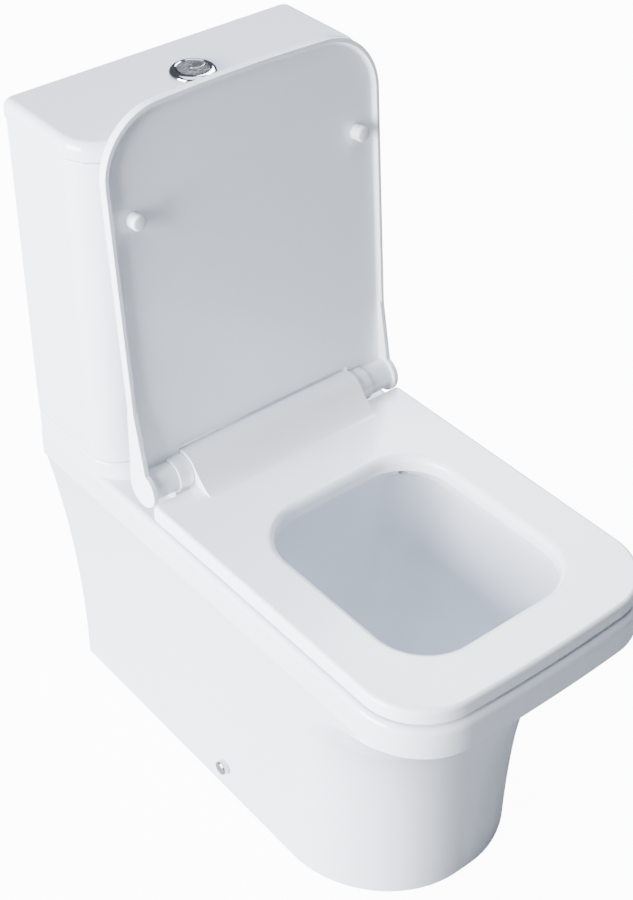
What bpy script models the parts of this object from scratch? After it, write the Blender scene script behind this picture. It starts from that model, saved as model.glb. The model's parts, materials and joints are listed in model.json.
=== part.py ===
"""Close coupled toilet: pan, cistern, flush gear, seat and cover, each piece as its own solid.

Metres, +Z up. The front of the pan faces -Y and the origin is on the floor, under the middle of
the object. Distances along the depth are given from the wall plane at the back of the pan.
"""
import math

import bmesh
import bpy
from mathutils import Matrix, Vector

GAP = 0.0003                    # between pieces that touch
RUNNING_GAP = 0.0006            # between pieces that move past each other

# Pan
PAN_LENGTH = 0.646
PAN_WIDTH = 0.360
RIM_HEIGHT = 0.391
RIM_BAND = 0.040
RIM_CORNER = 0.076
RIM_EDGE_ROUND = 0.007
BAND_STEP = 0.002
FRONT_BOW = 0.007
FRONT_OVERHANG = 0.085          # of the rim beyond the foot of the pedestal
SIDE_OVERHANG = 0.038
BASE_CORNER = 0.130
SIDE_FLARE_POWER = 2.0
FRONT_FLARE_POWER = 5.0
PAN_WALL = 0.012
DECK_THICKNESS = 0.013
HOLLOW_REAR_DROP = 0.056        # from the rim down to the open back of the pan
PLINTH_MARGIN = 0.005           # of the plinth in front of the cistern
PLINTH_HEIGHT = 0.022
PLINTH_ROUND = 0.004

# Bowl
BOWL_SIDE_RIM = 0.052
BOWL_REAR = 0.300
BOWL_FRONT_RIM = 0.050
BOWL_CORNER = 0.052
BOWL_DEPTH = 0.255
SUMP_WIDTH = 0.078
SUMP_LENGTH = 0.091
SUMP_SETBACK = 0.034            # behind the bowl's rear wall line
RIM_LIP = 0.021
RIM_UNDERCUT = 0.005
BOWL_MOUTH_EASE = 0.003
BOWL_WALL = 0.011

# Trap and flush water way
TRAP_RADIUS = 0.034
TRAP_WALL = 0.009
TRAP_DIP = 0.004                # below the bottom of the bowl
WEIR_RISE = 0.114
OUTLET_HEIGHT = 0.180
OUTLET_RADIUS = 0.045
OUTLET_LENGTH = 0.045
OUTLET_WALL = 0.007
CHANNEL_WIDTH = 0.056
CHANNEL_HEIGHT = 0.030
CHANNEL_ROOF = 0.011
WATER_WAY_WALL = 0.010
GALLERY_SIDE_GAP = 0.015
GALLERY_SIZE = 0.018
GALLERY_SETBACK = 0.015
JET_RADIUS = 0.0045
JET_REACH = 0.030

# Cistern
CISTERN_TAPER = 0.0035          # each side, over its height
CISTERN_DEPTH = 0.147
CISTERN_HEIGHT = 0.375
CISTERN_CORNER = 0.042
CISTERN_BACK_CORNER = 0.006
CISTERN_FOOT_ROUND = 0.003
CISTERN_WALL = 0.009
CISTERN_FLOOR = 0.012
CISTERN_SEAT_GAP = 0.0005

# Cistern lid
LID_OVERHANG = 0.002
LID_FRONT_OVERHANG = 0.0015
LID_THICKNESS = 0.0205
LID_CORNER = 0.045
LID_ROUND = 0.009
LID_LIP_DEPTH = 0.010
LID_LIP_WALL = 0.004
LID_LIP_CLEARANCE = 0.002
LID_HOLLOW = 0.006
LID_SEAT_GAP = 0.0008

# Flush button
BUTTON_FORWARD = 0.0015         # of the middle of the cistern
COLLAR_RADIUS = 0.0255
COLLAR_HEIGHT = 0.0055
COLLAR_LIP = 0.0012
SLEEVE_RADIUS = 0.0190
SLEEVE_WALL = 0.0012
SLEEVE_LENGTH = 0.045
SLEEVE_FLOOR = 0.003
LID_HOLE_CLEARANCE = 0.001
COLLAR_NUT_RIM = 0.008
COLLAR_NUT_HEIGHT = 0.008
BUTTON_THICKNESS = 0.0045
BUTTON_STEM_RADIUS = 0.0034
BUTTON_STEM_DROP = 0.012
BUTTON_TRAVEL = 0.006
HALF_BUTTON_LENGTH = 0.0184
HALF_BUTTON_WIDTH = 0.0104
HALF_BUTTON_OFFSET = 0.0058
HALF_BUTTON_RISE = 0.0008
PUSH_ROD_OFFSET = 0.0085
PUSH_ROD_RADIUS = 0.0016
PUSH_ROD_CLEARANCE = 0.001
SPRING_WIRE = 0.0004
SPRING_RADIUS = 0.0040
SPRING_TURNS = 4

# Flush valve
TAIL_RADIUS = 0.030
TAIL_WALL = 0.005
TAIL_LENGTH = 0.029
VALVE_FLANGE_RIM = 0.011
VALVE_FLANGE = 0.005
VALVE_SEAT_HEIGHT = 0.014
VALVE_SEAT_WALL = 0.003
TAIL_NUT_RIM = 0.012
TAIL_NUT_HEIGHT = 0.012
GASKET_RIM = 0.0105
GASKET_HEIGHT = 0.0165
GASKET_SIDE_CLEARANCE = 0.001
GASKET_WALL = 0.009
TAIL_HOLE_CLEARANCE = 0.003
INLET_CLEARANCE = 0.004
BASKET_RADIUS = 0.0385
BASKET_WALL = 0.003
BASKET_CAP = 0.004
BASKET_WINDOW = 0.040
BASKET_WINDOW_WIDTH = 0.030
BASKET_WINDOW_SILL = 0.006
VALVE_HEADROOM = 0.090          # from the top of the valve to the top of the cistern
VALVE_HEAD_RADIUS = 0.034
VALVE_HEAD_HEIGHT = 0.062
VALVE_HEAD_WALL = 0.0025
OVERFLOW_RADIUS = 0.0155
OVERFLOW_WALL = 0.003
OVERFLOW_RISE = 0.023           # above the basket
PISTON_RADIUS = 0.0315
PISTON_THICKNESS = 0.005
VALVE_SEAL = 0.003

# Fill valve
FILL_FROM_BOLT = 0.047
FILL_TAIL_RADIUS = 0.0105
FILL_TAIL_LENGTH = 0.066
FILL_BORE = 0.005
FILL_HOLE_CLEARANCE = 0.0015
FILL_FLANGE_RADIUS = 0.017
FILL_FLANGE = 0.004
FILL_WASHER = 0.002
FILL_COLUMN_RADIUS = 0.0135
FILL_HEADROOM = 0.110           # from the top of the valve to the top of the cistern
FILL_HEAD_RADIUS = 0.021
FILL_HEAD_HEIGHT = 0.028
FILL_NUT_RIM = 0.0075
FILL_NUT_HEIGHT = 0.010
FILL_DECK_CLEARANCE = 0.004     # round the nut, in the pan's deck
FLOAT_RADIUS = 0.030
FLOAT_HEIGHT = 0.058
FLOAT_DROP = 0.024
FLOAT_CLEARANCE = 0.0015
FLOAT_ROD_RADIUS = 0.0015
FLOAT_ROD_OFFSET = 0.026
FLOAT_ROD_GAP = 0.001
ARM_PIVOT_OFFSET = 0.020
ARM_HEIGHT = 0.006
ARM_WIDTH = 0.005
ARM_LIFT = 0.004
ARM_OVERHANG = 0.006
ARM_PIN_RADIUS = 0.0018
CLEVIS_WALL = 0.003
CLEVIS_FLOOR = 0.0025
CLEVIS_LENGTH = 0.012

# Close coupling bolts
BOLT_FROM_GASKET = 0.0255
BOLT_RADIUS = 0.004
BOLT_LENGTH = 0.072
BOLT_HEAD_RADIUS = 0.0075
BOLT_HEAD = 0.005
BOLT_HOLE_CLEARANCE = 0.0015
BOLT_SEAL_RADIUS = 0.013
BOLT_SEAL = 0.004
BOLT_WASHER_RADIUS = 0.012
BOLT_WASHER = 0.002
WING_NUT_RIM = 0.0035
WING_NUT_HEIGHT = 0.009
WING_LENGTH = 0.013
WING_THICKNESS = 0.003
WING_RISE = 0.006

# Seat
SEAT_SIDE_INSET = 0.004
SEAT_FRONT_INSET = 0.006
SEAT_THICKNESS = 0.0195
SEAT_CLEARANCE = 0.0035
SEAT_CORNER = 0.070
SEAT_REAR_CORNER = 0.004
SEAT_EDGE_ROUND = 0.005
SEAT_FOOT_ROUND = 0.002
SEAT_SIDE_BAND = 0.061
SEAT_FRONT_BAND = 0.062
OPENING_FROM_HINGE = 0.114
OPENING_CORNER = 0.060
OPENING_ROUND = 0.009
HINGE_DISTANCE = 0.202
HUMP_RADIUS = 0.0235
HUMP_CLEARANCE = 0.009          # over the pan
HUMP_RUN = 0.050
HUMP_BREAK_DEG = 42.0
SEAT_BUFFER_RADIUS = 0.009
SEAT_BUFFER_INSET = 0.028
SEAT_BUFFER_REAR = 0.098        # from the hinge line
SEAT_BUFFER_FRONT = 0.080       # from the front of the seat

# Cover
COVER_SIDE_INSET = 0.001
COVER_FRONT_INSET = 0.011
COVER_CORNER = 0.068
COVER_THICKNESS = 0.012
COVER_PLATE = 0.007
COVER_RIM = 0.005
COVER_EDGE_ROUND = 0.003
COVER_OPEN_DEG = 95.5
COVER_HUMP_CLEARANCE = 0.0012
COVER_SWEEP_CLEARANCE = 0.0020
EAR_PROUD = 0.002
EAR_THICKNESS = 0.0065
EAR_REACH = 0.095
BARREL_LENGTH = 0.037
BARREL_SHRINK = 0.0025          # in radius, below the hinge post's
COVER_BUFFER_RADIUS = 0.0085
COVER_BUFFER_INSET = 0.030
COVER_BUFFER_FRONT = 0.117      # from the free edge
COVER_BUFFER_CLEARANCE = 0.001

# Hinge posts
POST_SHRINK = 0.0035            # in radius, below the hump's
POST_WIDTH = 0.018
POST_SIDE_GAP = 0.0008
POST_WALL = 0.007
POST_PLATE = 0.004
POST_PLATE_WIDTH = 0.030
POST_STEM = 0.016
FIXING_FROM_POST = 0.0417
FIXING_EDGE = 0.012
STUD_RADIUS = 0.0035
STUD_LENGTH = 0.055
STUD_HEAD_RADIUS = 0.008
STUD_HEAD = 0.0022
STUD_HOLE_CLEARANCE = 0.0020
STUD_WASHER_RADIUS = 0.011
STUD_WASHER = 0.003
STUD_NUT_RIM = 0.0055
STUD_NUT_HEIGHT = 0.012
DAMPER_SHAFT = 0.0055
DAMPER_SHAFT_REACH = 0.021
DAMPER_END_GAP = 0.0004
SHAFT_END_CLEARANCE = 0.002

# Floor fixings
SIDE_FIXING_DISTANCE = 0.297
SIDE_FIXING_HEIGHT = 0.040
CAP_RADIUS = 0.009
CAP_LENGTH = 0.0080
CAP_WALL = 0.0016
SCREW_RADIUS = 0.0028
SCREW_LENGTH = 0.036
SCREW_HOLE_CLEARANCE = 0.0022
SCREW_HEAD_RADIUS = 0.0058
SCREW_HEAD = 0.003
FLOOR_HOLE_RADIUS = 0.0035
BRACKET_LENGTH = 0.044
BRACKET_DEPTH = 0.036
BRACKET_FOOT = 0.005
BRACKET_RISE = 0.018            # above the screw
BRACKET_UPRIGHT = 0.014
BRACKET_WALL_GAP = 0.0015

# Pan levels and outlines
BASE_LENGTH = PAN_LENGTH - FRONT_OVERHANG
BASE_WIDTH = PAN_WIDTH - 2 * SIDE_OVERHANG
BAND_BOTTOM = RIM_HEIGHT - RIM_BAND
PLINTH_TOP = RIM_HEIGHT + PLINTH_HEIGHT
PLINTH_DEPTH = CISTERN_DEPTH + PLINTH_MARGIN
HOLLOW_REAR_TOP = RIM_HEIGHT - HOLLOW_REAR_DROP
BOWL_WIDTH = PAN_WIDTH - 2 * BOWL_SIDE_RIM
BOWL_FRONT = PAN_LENGTH - BOWL_FRONT_RIM
SUMP_REAR = BOWL_REAR + SUMP_SETBACK
SUMP_FRONT = SUMP_REAR + SUMP_LENGTH
BOWL_BOTTOM = RIM_HEIGHT - BOWL_DEPTH
TRAP_BOTTOM_LINE = BOWL_BOTTOM - TRAP_DIP
WEIR_HEIGHT = TRAP_BOTTOM_LINE + WEIR_RISE
CHANNEL_TOP = RIM_HEIGHT - CHANNEL_ROOF
CHANNEL_BOTTOM = CHANNEL_TOP - CHANNEL_HEIGHT
GALLERY_SPAN = BOWL_WIDTH - 2 * GALLERY_SIDE_GAP
GALLERY_DISTANCE = BOWL_REAR - GALLERY_SETBACK - GALLERY_SIZE / 2

# Cistern levels
CISTERN_WIDTH = PAN_WIDTH
CISTERN_BOTTOM = PLINTH_TOP + CISTERN_SEAT_GAP
CISTERN_TOP = CISTERN_BOTTOM + CISTERN_HEIGHT
TANK_FLOOR = CISTERN_BOTTOM + CISTERN_FLOOR
LID_WIDTH = CISTERN_WIDTH + 2 * (CISTERN_TAPER + LID_OVERHANG)
LID_DEPTH = CISTERN_DEPTH + LID_FRONT_OVERHANG
LID_BOTTOM = CISTERN_TOP + LID_SEAT_GAP
LID_TOP = LID_BOTTOM + LID_THICKNESS
LID_UNDERSIDE = LID_BOTTOM + LID_HOLLOW
VALVE_DISTANCE = CISTERN_DEPTH / 2
BUTTON_DISTANCE = VALVE_DISTANCE + BUTTON_FORWARD
SLEEVE_BORE = SLEEVE_RADIUS - SLEEVE_WALL
SLEEVE_BOTTOM = LID_TOP - SLEEVE_LENGTH
BUTTON_TOP = LID_TOP + COLLAR_HEIGHT
BUTTON_BOTTOM = BUTTON_TOP - BUTTON_THICKNESS
STEM_BOTTOM = BUTTON_BOTTOM - BUTTON_STEM_DROP

# Flush valve, fill valve and bolts
TAIL_BORE = TAIL_RADIUS - TAIL_WALL
TAIL_NUT_RADIUS = TAIL_RADIUS + TAIL_NUT_RIM
GASKET_RADIUS = TAIL_NUT_RADIUS + GASKET_RIM
INLET_RADIUS = TAIL_RADIUS + INLET_CLEARANCE
RECESS_FLOOR = CISTERN_BOTTOM - GASKET_HEIGHT
VALVE_HEAD_TOP = CISTERN_TOP - VALVE_HEADROOM
VALVE_HEAD_BOTTOM = VALVE_HEAD_TOP - VALVE_HEAD_HEIGHT
BASKET_TOP = VALVE_HEAD_BOTTOM - GAP
BASKET_BOTTOM = TANK_FLOOR + VALVE_FLANGE + 2 * GAP
OVERFLOW_BORE = OVERFLOW_RADIUS - OVERFLOW_WALL
OVERFLOW_TOP = BASKET_TOP + OVERFLOW_RISE
BOLT_OFFSET = GASKET_RADIUS + BOLT_FROM_GASKET
FILL_OFFSET = BOLT_OFFSET + FILL_FROM_BOLT
FILL_NUT_RADIUS = FILL_TAIL_RADIUS + FILL_NUT_RIM
FILL_HEAD_TOP = CISTERN_TOP - FILL_HEADROOM
FILL_HEAD_BOTTOM = FILL_HEAD_TOP - FILL_HEAD_HEIGHT
ARM_PIVOT_HEIGHT = FILL_HEAD_TOP + ARM_LIFT + ARM_HEIGHT / 2

# Seat, cover and hinge lines
SEAT_WIDTH = PAN_WIDTH - 2 * SEAT_SIDE_INSET
SEAT_LENGTH = PAN_LENGTH - SEAT_FRONT_INSET
SEAT_BOTTOM = RIM_HEIGHT + SEAT_CLEARANCE
SEAT_TOP = SEAT_BOTTOM + SEAT_THICKNESS
OPENING_WIDTH = SEAT_WIDTH - 2 * SEAT_SIDE_BAND
OPENING_REAR = HINGE_DISTANCE + OPENING_FROM_HINGE
OPENING_FRONT = SEAT_LENGTH - SEAT_FRONT_BAND
HINGE_HEIGHT = RIM_HEIGHT + HUMP_CLEARANCE + HUMP_RADIUS
COVER_WIDTH = SEAT_WIDTH - 2 * COVER_SIDE_INSET
COVER_LENGTH = SEAT_LENGTH - COVER_FRONT_INSET
COVER_BOTTOM = HINGE_HEIGHT
COVER_TOP = COVER_BOTTOM + COVER_THICKNESS
POST_RADIUS = HUMP_RADIUS - POST_SHRINK
EAR_RADIUS = POST_RADIUS + EAR_PROUD
SEAT_REAR = HINGE_DISTANCE + POST_RADIUS
BARREL_RADIUS = POST_RADIUS - BARREL_SHRINK
DAMPER_RADIUS = POST_RADIUS - POST_WALL
COVER_BARREL_INNER = COVER_WIDTH / 2 - BARREL_LENGTH
POST_OUTER = COVER_BARREL_INNER - POST_SIDE_GAP
POST_INNER = POST_OUTER - POST_WIDTH
HUMP_HALF_WIDTH = POST_INNER - POST_SIDE_GAP
FIXING_OFFSET = POST_INNER - FIXING_FROM_POST
SIDES = {"left": -1, "right": 1}


# Scene and materials

def clear_scene():
    for item in list(bpy.data.objects):
        bpy.data.objects.remove(item, do_unlink=True)


def new_collection(name):
    collection = bpy.data.collections.new(name)
    bpy.context.scene.collection.children.link(collection)
    return collection


def finish(name, colour, roughness, metallic=0.0):
    material = bpy.data.materials.new(name)
    material.use_nodes = True
    shader = material.node_tree.nodes["Principled BSDF"]
    shader.inputs["Base Color"].default_value = (*colour, 1.0)
    shader.inputs["Roughness"].default_value = roughness
    shader.inputs["Metallic"].default_value = metallic
    material.diffuse_color = (*colour, 1.0)
    return material


def from_wall(distance):
    """The y of a plane that stands this far in front of the wall."""
    return PAN_LENGTH / 2 - distance


def add_part(name, mesh, material):
    mesh.name = name
    mesh.materials.append(material)
    mesh.shade_smooth()
    mesh.set_sharp_from_angle(angle=math.radians(35))
    part = bpy.data.objects.new(name, mesh)
    PARTS.objects.link(part)
    return part


def add_tool(name, mesh):
    """A solid that only cuts or joins others."""
    tool = bpy.data.objects.new("cut_" + name, mesh)
    tool.hide_render = True
    tool.display_type = "WIRE"
    CUTTERS.objects.link(tool)
    return tool


def combine(part, tool, operation):
    modifier = part.modifiers.new(operation.lower() + "_" + tool.name, "BOOLEAN")
    modifier.operation = operation
    modifier.solver = "EXACT"
    modifier.object = tool
    return part


def cut(part, *tools):
    for tool in tools:
        combine(part, tool, "DIFFERENCE")
    return part


def join(part, *tools):
    for tool in tools:
        combine(part, tool, "UNION")
    return part


# Shapes

def arc(centre_x, centre_y, radius, start_deg, end_deg, steps):
    points = []
    for step in range(steps + 1):
        angle = math.radians(start_deg + (end_deg - start_deg) * step / steps)
        points.append((centre_x + radius * math.cos(angle), centre_y + radius * math.sin(angle)))
    return points


def outline(half_width, rear, front, rear_corner, front_corner, bow=0.0, corner_steps=7):
    """A rounded rectangle seen from above; rear and front are distances from the wall."""
    rear_y = from_wall(rear)
    front_y = from_wall(front)
    rear_steps = max(2, corner_steps // 3) if rear_corner < 0.02 else corner_steps
    front_x = half_width - front_corner
    rear_x = half_width - rear_corner
    points = arc(front_x, front_y + front_corner, front_corner, -90, 0, corner_steps)
    points += arc(rear_x, rear_y - rear_corner, rear_corner, 0, 90, rear_steps)
    points += arc(-rear_x, rear_y - rear_corner, rear_corner, 90, 180, rear_steps)
    points += arc(-front_x, front_y + front_corner, front_corner, 180, 270, corner_steps)
    points += [(front_x * step, front_y) for step in (-0.5, 0.0, 0.5)]
    middle_y = (rear_y + front_y) / 2
    bowed = []
    for x, y in points:
        share = max(0.0, (middle_y - y) / (middle_y - front_y))
        bowed.append((x, y + bow * share * (x / half_width) ** 2))
    return bowed


def at_height(points, z):
    return [Vector((x, y, z)) for x, y in points]


def loft(rings):
    """A closed mesh through rings that have the same number of points."""
    mesh = bpy.data.meshes.new("loft")
    build = bmesh.new()
    levels = [[build.verts.new(point) for point in ring] for ring in rings]
    count = len(rings[0])
    for lower, upper in zip(levels, levels[1:]):
        for index in range(count):
            following = (index + 1) % count
            build.faces.new((lower[index], lower[following], upper[following], upper[index]))
    build.faces.new(levels[0][::-1])
    build.faces.new(levels[-1])
    bmesh.ops.recalc_face_normals(build, faces=build.faces)
    build.to_mesh(mesh)
    build.free()
    return mesh


def curve_to_mesh(curve):
    holder = bpy.data.objects.new("curve_guide", curve)
    CUTTERS.objects.link(holder)
    graph = bpy.context.evaluated_depsgraph_get()
    mesh = bpy.data.meshes.new_from_object(holder.evaluated_get(graph))
    bpy.data.objects.remove(holder)
    build = bmesh.new()
    build.from_mesh(mesh)
    bmesh.ops.remove_doubles(build, verts=build.verts, dist=0.00001)
    bmesh.ops.recalc_face_normals(build, faces=build.faces)
    build.to_mesh(mesh)
    build.free()
    return mesh


def bar(profile, start_x, end_x):
    """A profile of (distance from the wall, height) run along X."""
    curve = bpy.data.curves.new("bar", "CURVE")
    curve.dimensions = "2D"
    curve.fill_mode = "BOTH"
    curve.extrude = abs(end_x - start_x) / 2
    spline = curve.splines.new("POLY")
    spline.points.add(len(profile) - 1)
    spline.use_cyclic_u = True
    for target, (distance, z) in zip(spline.points, profile):
        target.co = (from_wall(distance), z, 0.0, 1.0)
    mesh = curve_to_mesh(curve)
    mesh.transform(Matrix(((0, 0, 1, (start_x + end_x) / 2), (1, 0, 0, 0), (0, 1, 0, 0), (0, 0, 0, 1))))
    return mesh


def box(x_range, distance_range, z_range):
    mesh = bpy.data.meshes.new("box")
    build = bmesh.new()
    y_range = (from_wall(distance_range[1]), from_wall(distance_range[0]))
    size = [high - low for low, high in (x_range, y_range, z_range)]
    middle = [(high + low) / 2 for low, high in (x_range, y_range, z_range)]
    matrix = Matrix.Translation(middle) @ Matrix.Diagonal((*size, 1.0))
    bmesh.ops.create_cube(build, size=1.0, matrix=matrix)
    build.to_mesh(mesh)
    build.free()
    return mesh


def rod(radius, start, end, segments=24, end_radius=None):
    """A cylinder or cone from one point to another."""
    mesh = bpy.data.meshes.new("rod")
    build = bmesh.new()
    start = Vector(start)
    run = Vector(end) - start
    turn = run.to_track_quat("Z", "Y").to_matrix().to_4x4()
    matrix = Matrix.Translation(start + run / 2) @ turn
    top = radius if end_radius is None else end_radius
    bmesh.ops.create_cone(build, cap_ends=True, segments=segments, radius1=radius,
                          radius2=top, depth=run.length, matrix=matrix)
    build.to_mesh(mesh)
    build.free()
    return mesh


def upright(radius, x, distance, bottom, top, segments=24, end_radius=None):
    y = from_wall(distance)
    return rod(radius, (x, y, bottom), (x, y, top), segments, end_radius)


def turned(name, profile, material, x, distance, steps, closed=False):
    """A profile of (radius, height), run down its outer side, and spun round an upright axis."""
    mesh = bpy.data.meshes.new(name)
    points = [(radius, 0.0, z) for radius, z in profile]
    edges = [(index, index + 1) for index in range(len(points) - 1)]
    if closed:
        edges.append((len(points) - 1, 0))
    mesh.from_pydata(points, edges, [])
    part = add_part(name, mesh, material)
    part.location = (x, from_wall(distance), 0.0)
    spin = part.modifiers.new("spin", "SCREW")
    spin.axis = "Z"
    spin.steps = steps
    spin.render_steps = steps
    spin.use_merge_vertices = True
    spin.merge_threshold = 0.00001
    spin.use_smooth_shade = True
    return part


def collar_piece(name, sections, material, x, distance, steps=20):
    """A turned ring with steps in it; sections are (bottom, top, bore, radius), lowest first.

    The flats of a faceted bore stand at its radius, so a round piece of that radius goes through.
    """
    ease = 1 / math.cos(math.pi / steps)
    profile = []
    for bottom, top, _, radius in reversed(sections):
        profile += [(radius, top), (radius, bottom)]
    for bottom, top, bore, _ in sections:
        profile += [(bore * ease, bottom), (bore * ease, top)]
    tidy = [point for index, point in enumerate(profile) if point != profile[index - 1]]
    return turned(name, tidy, material, x, distance, steps, closed=True)


def washer(name, radius, bore, x, distance, bottom, top, material, steps=16):
    return collar_piece(name, [(bottom, top, bore, radius)], material, x, distance, steps)


def tube(points, radius, resolution):
    """A tube along points, as a welded mesh."""
    curve = bpy.data.curves.new("tube", "CURVE")
    curve.dimensions = "3D"
    curve.bevel_depth = radius
    curve.bevel_resolution = resolution
    curve.use_fill_caps = True
    spline = curve.splines.new("POLY")
    spline.points.add(len(points) - 1)
    for target, point in zip(spline.points, points):
        target.co = (*point, 1.0)
    return curve_to_mesh(curve)


def smooth_route(points, steps):
    """Points along a Catmull-Rom curve through the given ones."""
    vectors = [Vector(point) for point in points]
    padded = [2 * vectors[0] - vectors[1], *vectors, 2 * vectors[-1] - vectors[-2]]
    route = []
    for before, start, end, after in zip(padded, padded[1:], padded[2:], padded[3:]):
        for step in range(steps):
            t = step / steps
            route.append(0.5 * (2 * start + (end - before) * t
                                + (2 * before - 5 * start + 4 * end - after) * t ** 2
                                + (3 * start - before - 3 * end + after) * t ** 3))
    route.append(vectors[-1])
    return route


# Pan

def pan_outline(z, inset=0.0, rear=0.0):
    """The pan's outer outline at a height, drawn in by inset."""
    share = min(1.0, max(0.0, z / BAND_BOTTOM))
    step = BAND_STEP if z < BAND_BOTTOM else 0.0
    side = (PAN_WIDTH / 2 - BASE_WIDTH / 2) * share ** SIDE_FLARE_POWER
    reach = (PAN_LENGTH - BASE_LENGTH) * share ** FRONT_FLARE_POWER
    corner = BASE_CORNER + (RIM_CORNER - BASE_CORNER) * share ** FRONT_FLARE_POWER
    half_width = BASE_WIDTH / 2 + side - step * share - inset
    front = BASE_LENGTH + reach - step * share - inset
    corner_now = max(0.01, corner - inset)
    return outline(half_width, rear, front, CISTERN_BACK_CORNER, corner_now, FRONT_BOW)


def pan_shell():
    rings = []
    flare_steps = 9
    for step in range(flare_steps + 1):
        z = (BAND_BOTTOM - BAND_STEP / 2) * step / flare_steps
        rings.append(at_height(pan_outline(z), z))
    band_start = BAND_BOTTOM + BAND_STEP / 2
    rings.append(at_height(pan_outline(band_start), band_start))
    for degrees in (0, 45, 90):
        turn = math.radians(degrees)
        z = RIM_HEIGHT - RIM_EDGE_ROUND * (1 - math.sin(turn))
        inset = RIM_EDGE_ROUND * (1 - math.cos(turn))
        rings.append(at_height(pan_outline(z, inset, inset / 2), z))
    return loft(rings)


def plinth_outline(inset):
    corner = CISTERN_CORNER + PLINTH_MARGIN - inset
    return outline(PAN_WIDTH / 2 - GAP - inset, GAP, PLINTH_DEPTH - inset, CISTERN_BACK_CORNER - inset / 2,
                   corner)


def plinth_tool():
    rings = [at_height(plinth_outline(0.0), RIM_HEIGHT - 1.5 * RIM_EDGE_ROUND)]
    for degrees in (0, 45, 90):
        turn = math.radians(degrees)
        z = PLINTH_TOP - PLINTH_ROUND * (1 - math.sin(turn))
        rings.append(at_height(plinth_outline(PLINTH_ROUND * (1 - math.cos(turn))), z))
    return add_tool("plinth", loft(rings))


def bowl_rings(offset):
    """Rings of the bowl, from its sump up through the rim; offset grows it into its wall."""
    bottom = BOWL_BOTTOM
    lip_bottom = RIM_HEIGHT - RIM_LIP
    levels = 6
    rings = []
    for step in range(levels):
        share = step / (levels - 1)
        z = bottom - offset + (lip_bottom - RIM_UNDERCUT - bottom + offset) * share
        spread = math.sin(math.pi / 2 * share) ** 0.95
        width = SUMP_WIDTH + (BOWL_WIDTH + 2 * RIM_UNDERCUT - SUMP_WIDTH) * spread
        rear = SUMP_REAR + (BOWL_REAR - RIM_UNDERCUT - SUMP_REAR) * spread
        front = SUMP_FRONT + (BOWL_FRONT + RIM_UNDERCUT - SUMP_FRONT) * spread
        corner = min(BOWL_CORNER, 0.95 * width / 2) + offset
        ring = outline(width / 2 + offset, rear - offset, front + offset, corner, corner)
        rings.append(at_height(ring, z))
    lip = outline(BOWL_WIDTH / 2 + offset, BOWL_REAR - offset, BOWL_FRONT + offset,
                  BOWL_CORNER + offset, BOWL_CORNER + offset)
    rings.append(at_height(lip, lip_bottom))
    return rings, lip


def bowl_tool():
    rings, lip = bowl_rings(0.0)
    rings.append(at_height(lip, RIM_HEIGHT - BOWL_MOUTH_EASE))
    ease = BOWL_MOUTH_EASE
    mouth = outline(BOWL_WIDTH / 2 + ease, BOWL_REAR - ease, BOWL_FRONT + ease, BOWL_CORNER + ease,
                    BOWL_CORNER + ease)
    rings.append(at_height(mouth, RIM_HEIGHT + GAP))
    return add_tool("bowl", loft(rings))


def bowl_wall_tool():
    rings, lip = bowl_rings(BOWL_WALL)
    rings.append(at_height(lip, RIM_HEIGHT - RIM_EDGE_ROUND))
    return add_tool("bowl_wall", loft(rings))


def trap_route():
    """From the sump, down through the water seal, up over the weir and back to the outlet."""
    climb = (TRAP_BOTTOM_LINE + WEIR_HEIGHT) / 2
    last_drop = SUMP_REAR - 4 * TRAP_RADIUS
    points = [
        ((SUMP_REAR + SUMP_FRONT) / 2 + 0.1 * TRAP_RADIUS, TRAP_BOTTOM_LINE + 0.8 * TRAP_RADIUS),
        (SUMP_REAR - 0.05 * TRAP_RADIUS, TRAP_BOTTOM_LINE),
        (SUMP_REAR - 2 * TRAP_RADIUS, climb),
        (last_drop, WEIR_HEIGHT),
        ((last_drop + OUTLET_LENGTH) / 2, OUTLET_HEIGHT + 0.5 * TRAP_RADIUS),
        (OUTLET_LENGTH + 0.6 * TRAP_RADIUS, OUTLET_HEIGHT),
        (OUTLET_LENGTH - OUTLET_WALL, OUTLET_HEIGHT),
    ]
    return smooth_route([(0.0, from_wall(distance), z) for distance, z in points], 3)


def trap_tool(extra, name):
    return add_tool(name, tube(trap_route(), TRAP_RADIUS + extra, 4))


def outlet_tool(extra, name):
    """The socket for the drain at the back, or its wall when extra grows it."""
    start = from_wall(OUTLET_LENGTH + extra)
    mesh = rod(OUTLET_RADIUS + extra, (0, start, OUTLET_HEIGHT), (0, from_wall(-0.03), OUTLET_HEIGHT), 28)
    return add_tool(name, mesh)


def inlet_tools(extra, name):
    """The flush water way, from the cistern forward to the gallery; extra grows it into its walls."""
    roof = extra / 3
    top = RECESS_FLOOR + (extra or GAP)
    well = upright(INLET_RADIUS + extra, 0, VALVE_DISTANCE, CHANNEL_BOTTOM - extra, top, 28)
    half = CHANNEL_WIDTH / 2 + extra
    channel = box((-half, half), (VALVE_DISTANCE, GALLERY_DISTANCE + extra),
                  (CHANNEL_BOTTOM - extra, CHANNEL_TOP + roof))
    span = GALLERY_SPAN / 2 + extra / 2
    reach = GALLERY_SIZE / 2 + extra
    gallery_top = CHANNEL_TOP - GAP
    gallery = box((-span, span), (GALLERY_DISTANCE - reach, GALLERY_DISTANCE + reach),
                  (gallery_top - GALLERY_SIZE - extra, gallery_top + roof))
    return [add_tool(name + "_well", well), add_tool(name + "_channel", channel),
            add_tool(name + "_gallery", gallery)]


def jet_tools():
    tools = []
    jet_x = GALLERY_SPAN / 2 - 1.2 * JET_RADIUS
    jet_z = CHANNEL_TOP - 1.2 * JET_RADIUS
    for side, sign in SIDES.items():
        mesh = rod(JET_RADIUS, (sign * jet_x, from_wall(GALLERY_DISTANCE), jet_z),
                   (sign * jet_x, from_wall(BOWL_REAR + JET_REACH), jet_z), 12)
        tools.append(add_tool("jet_" + side, mesh))
    return tools


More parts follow.
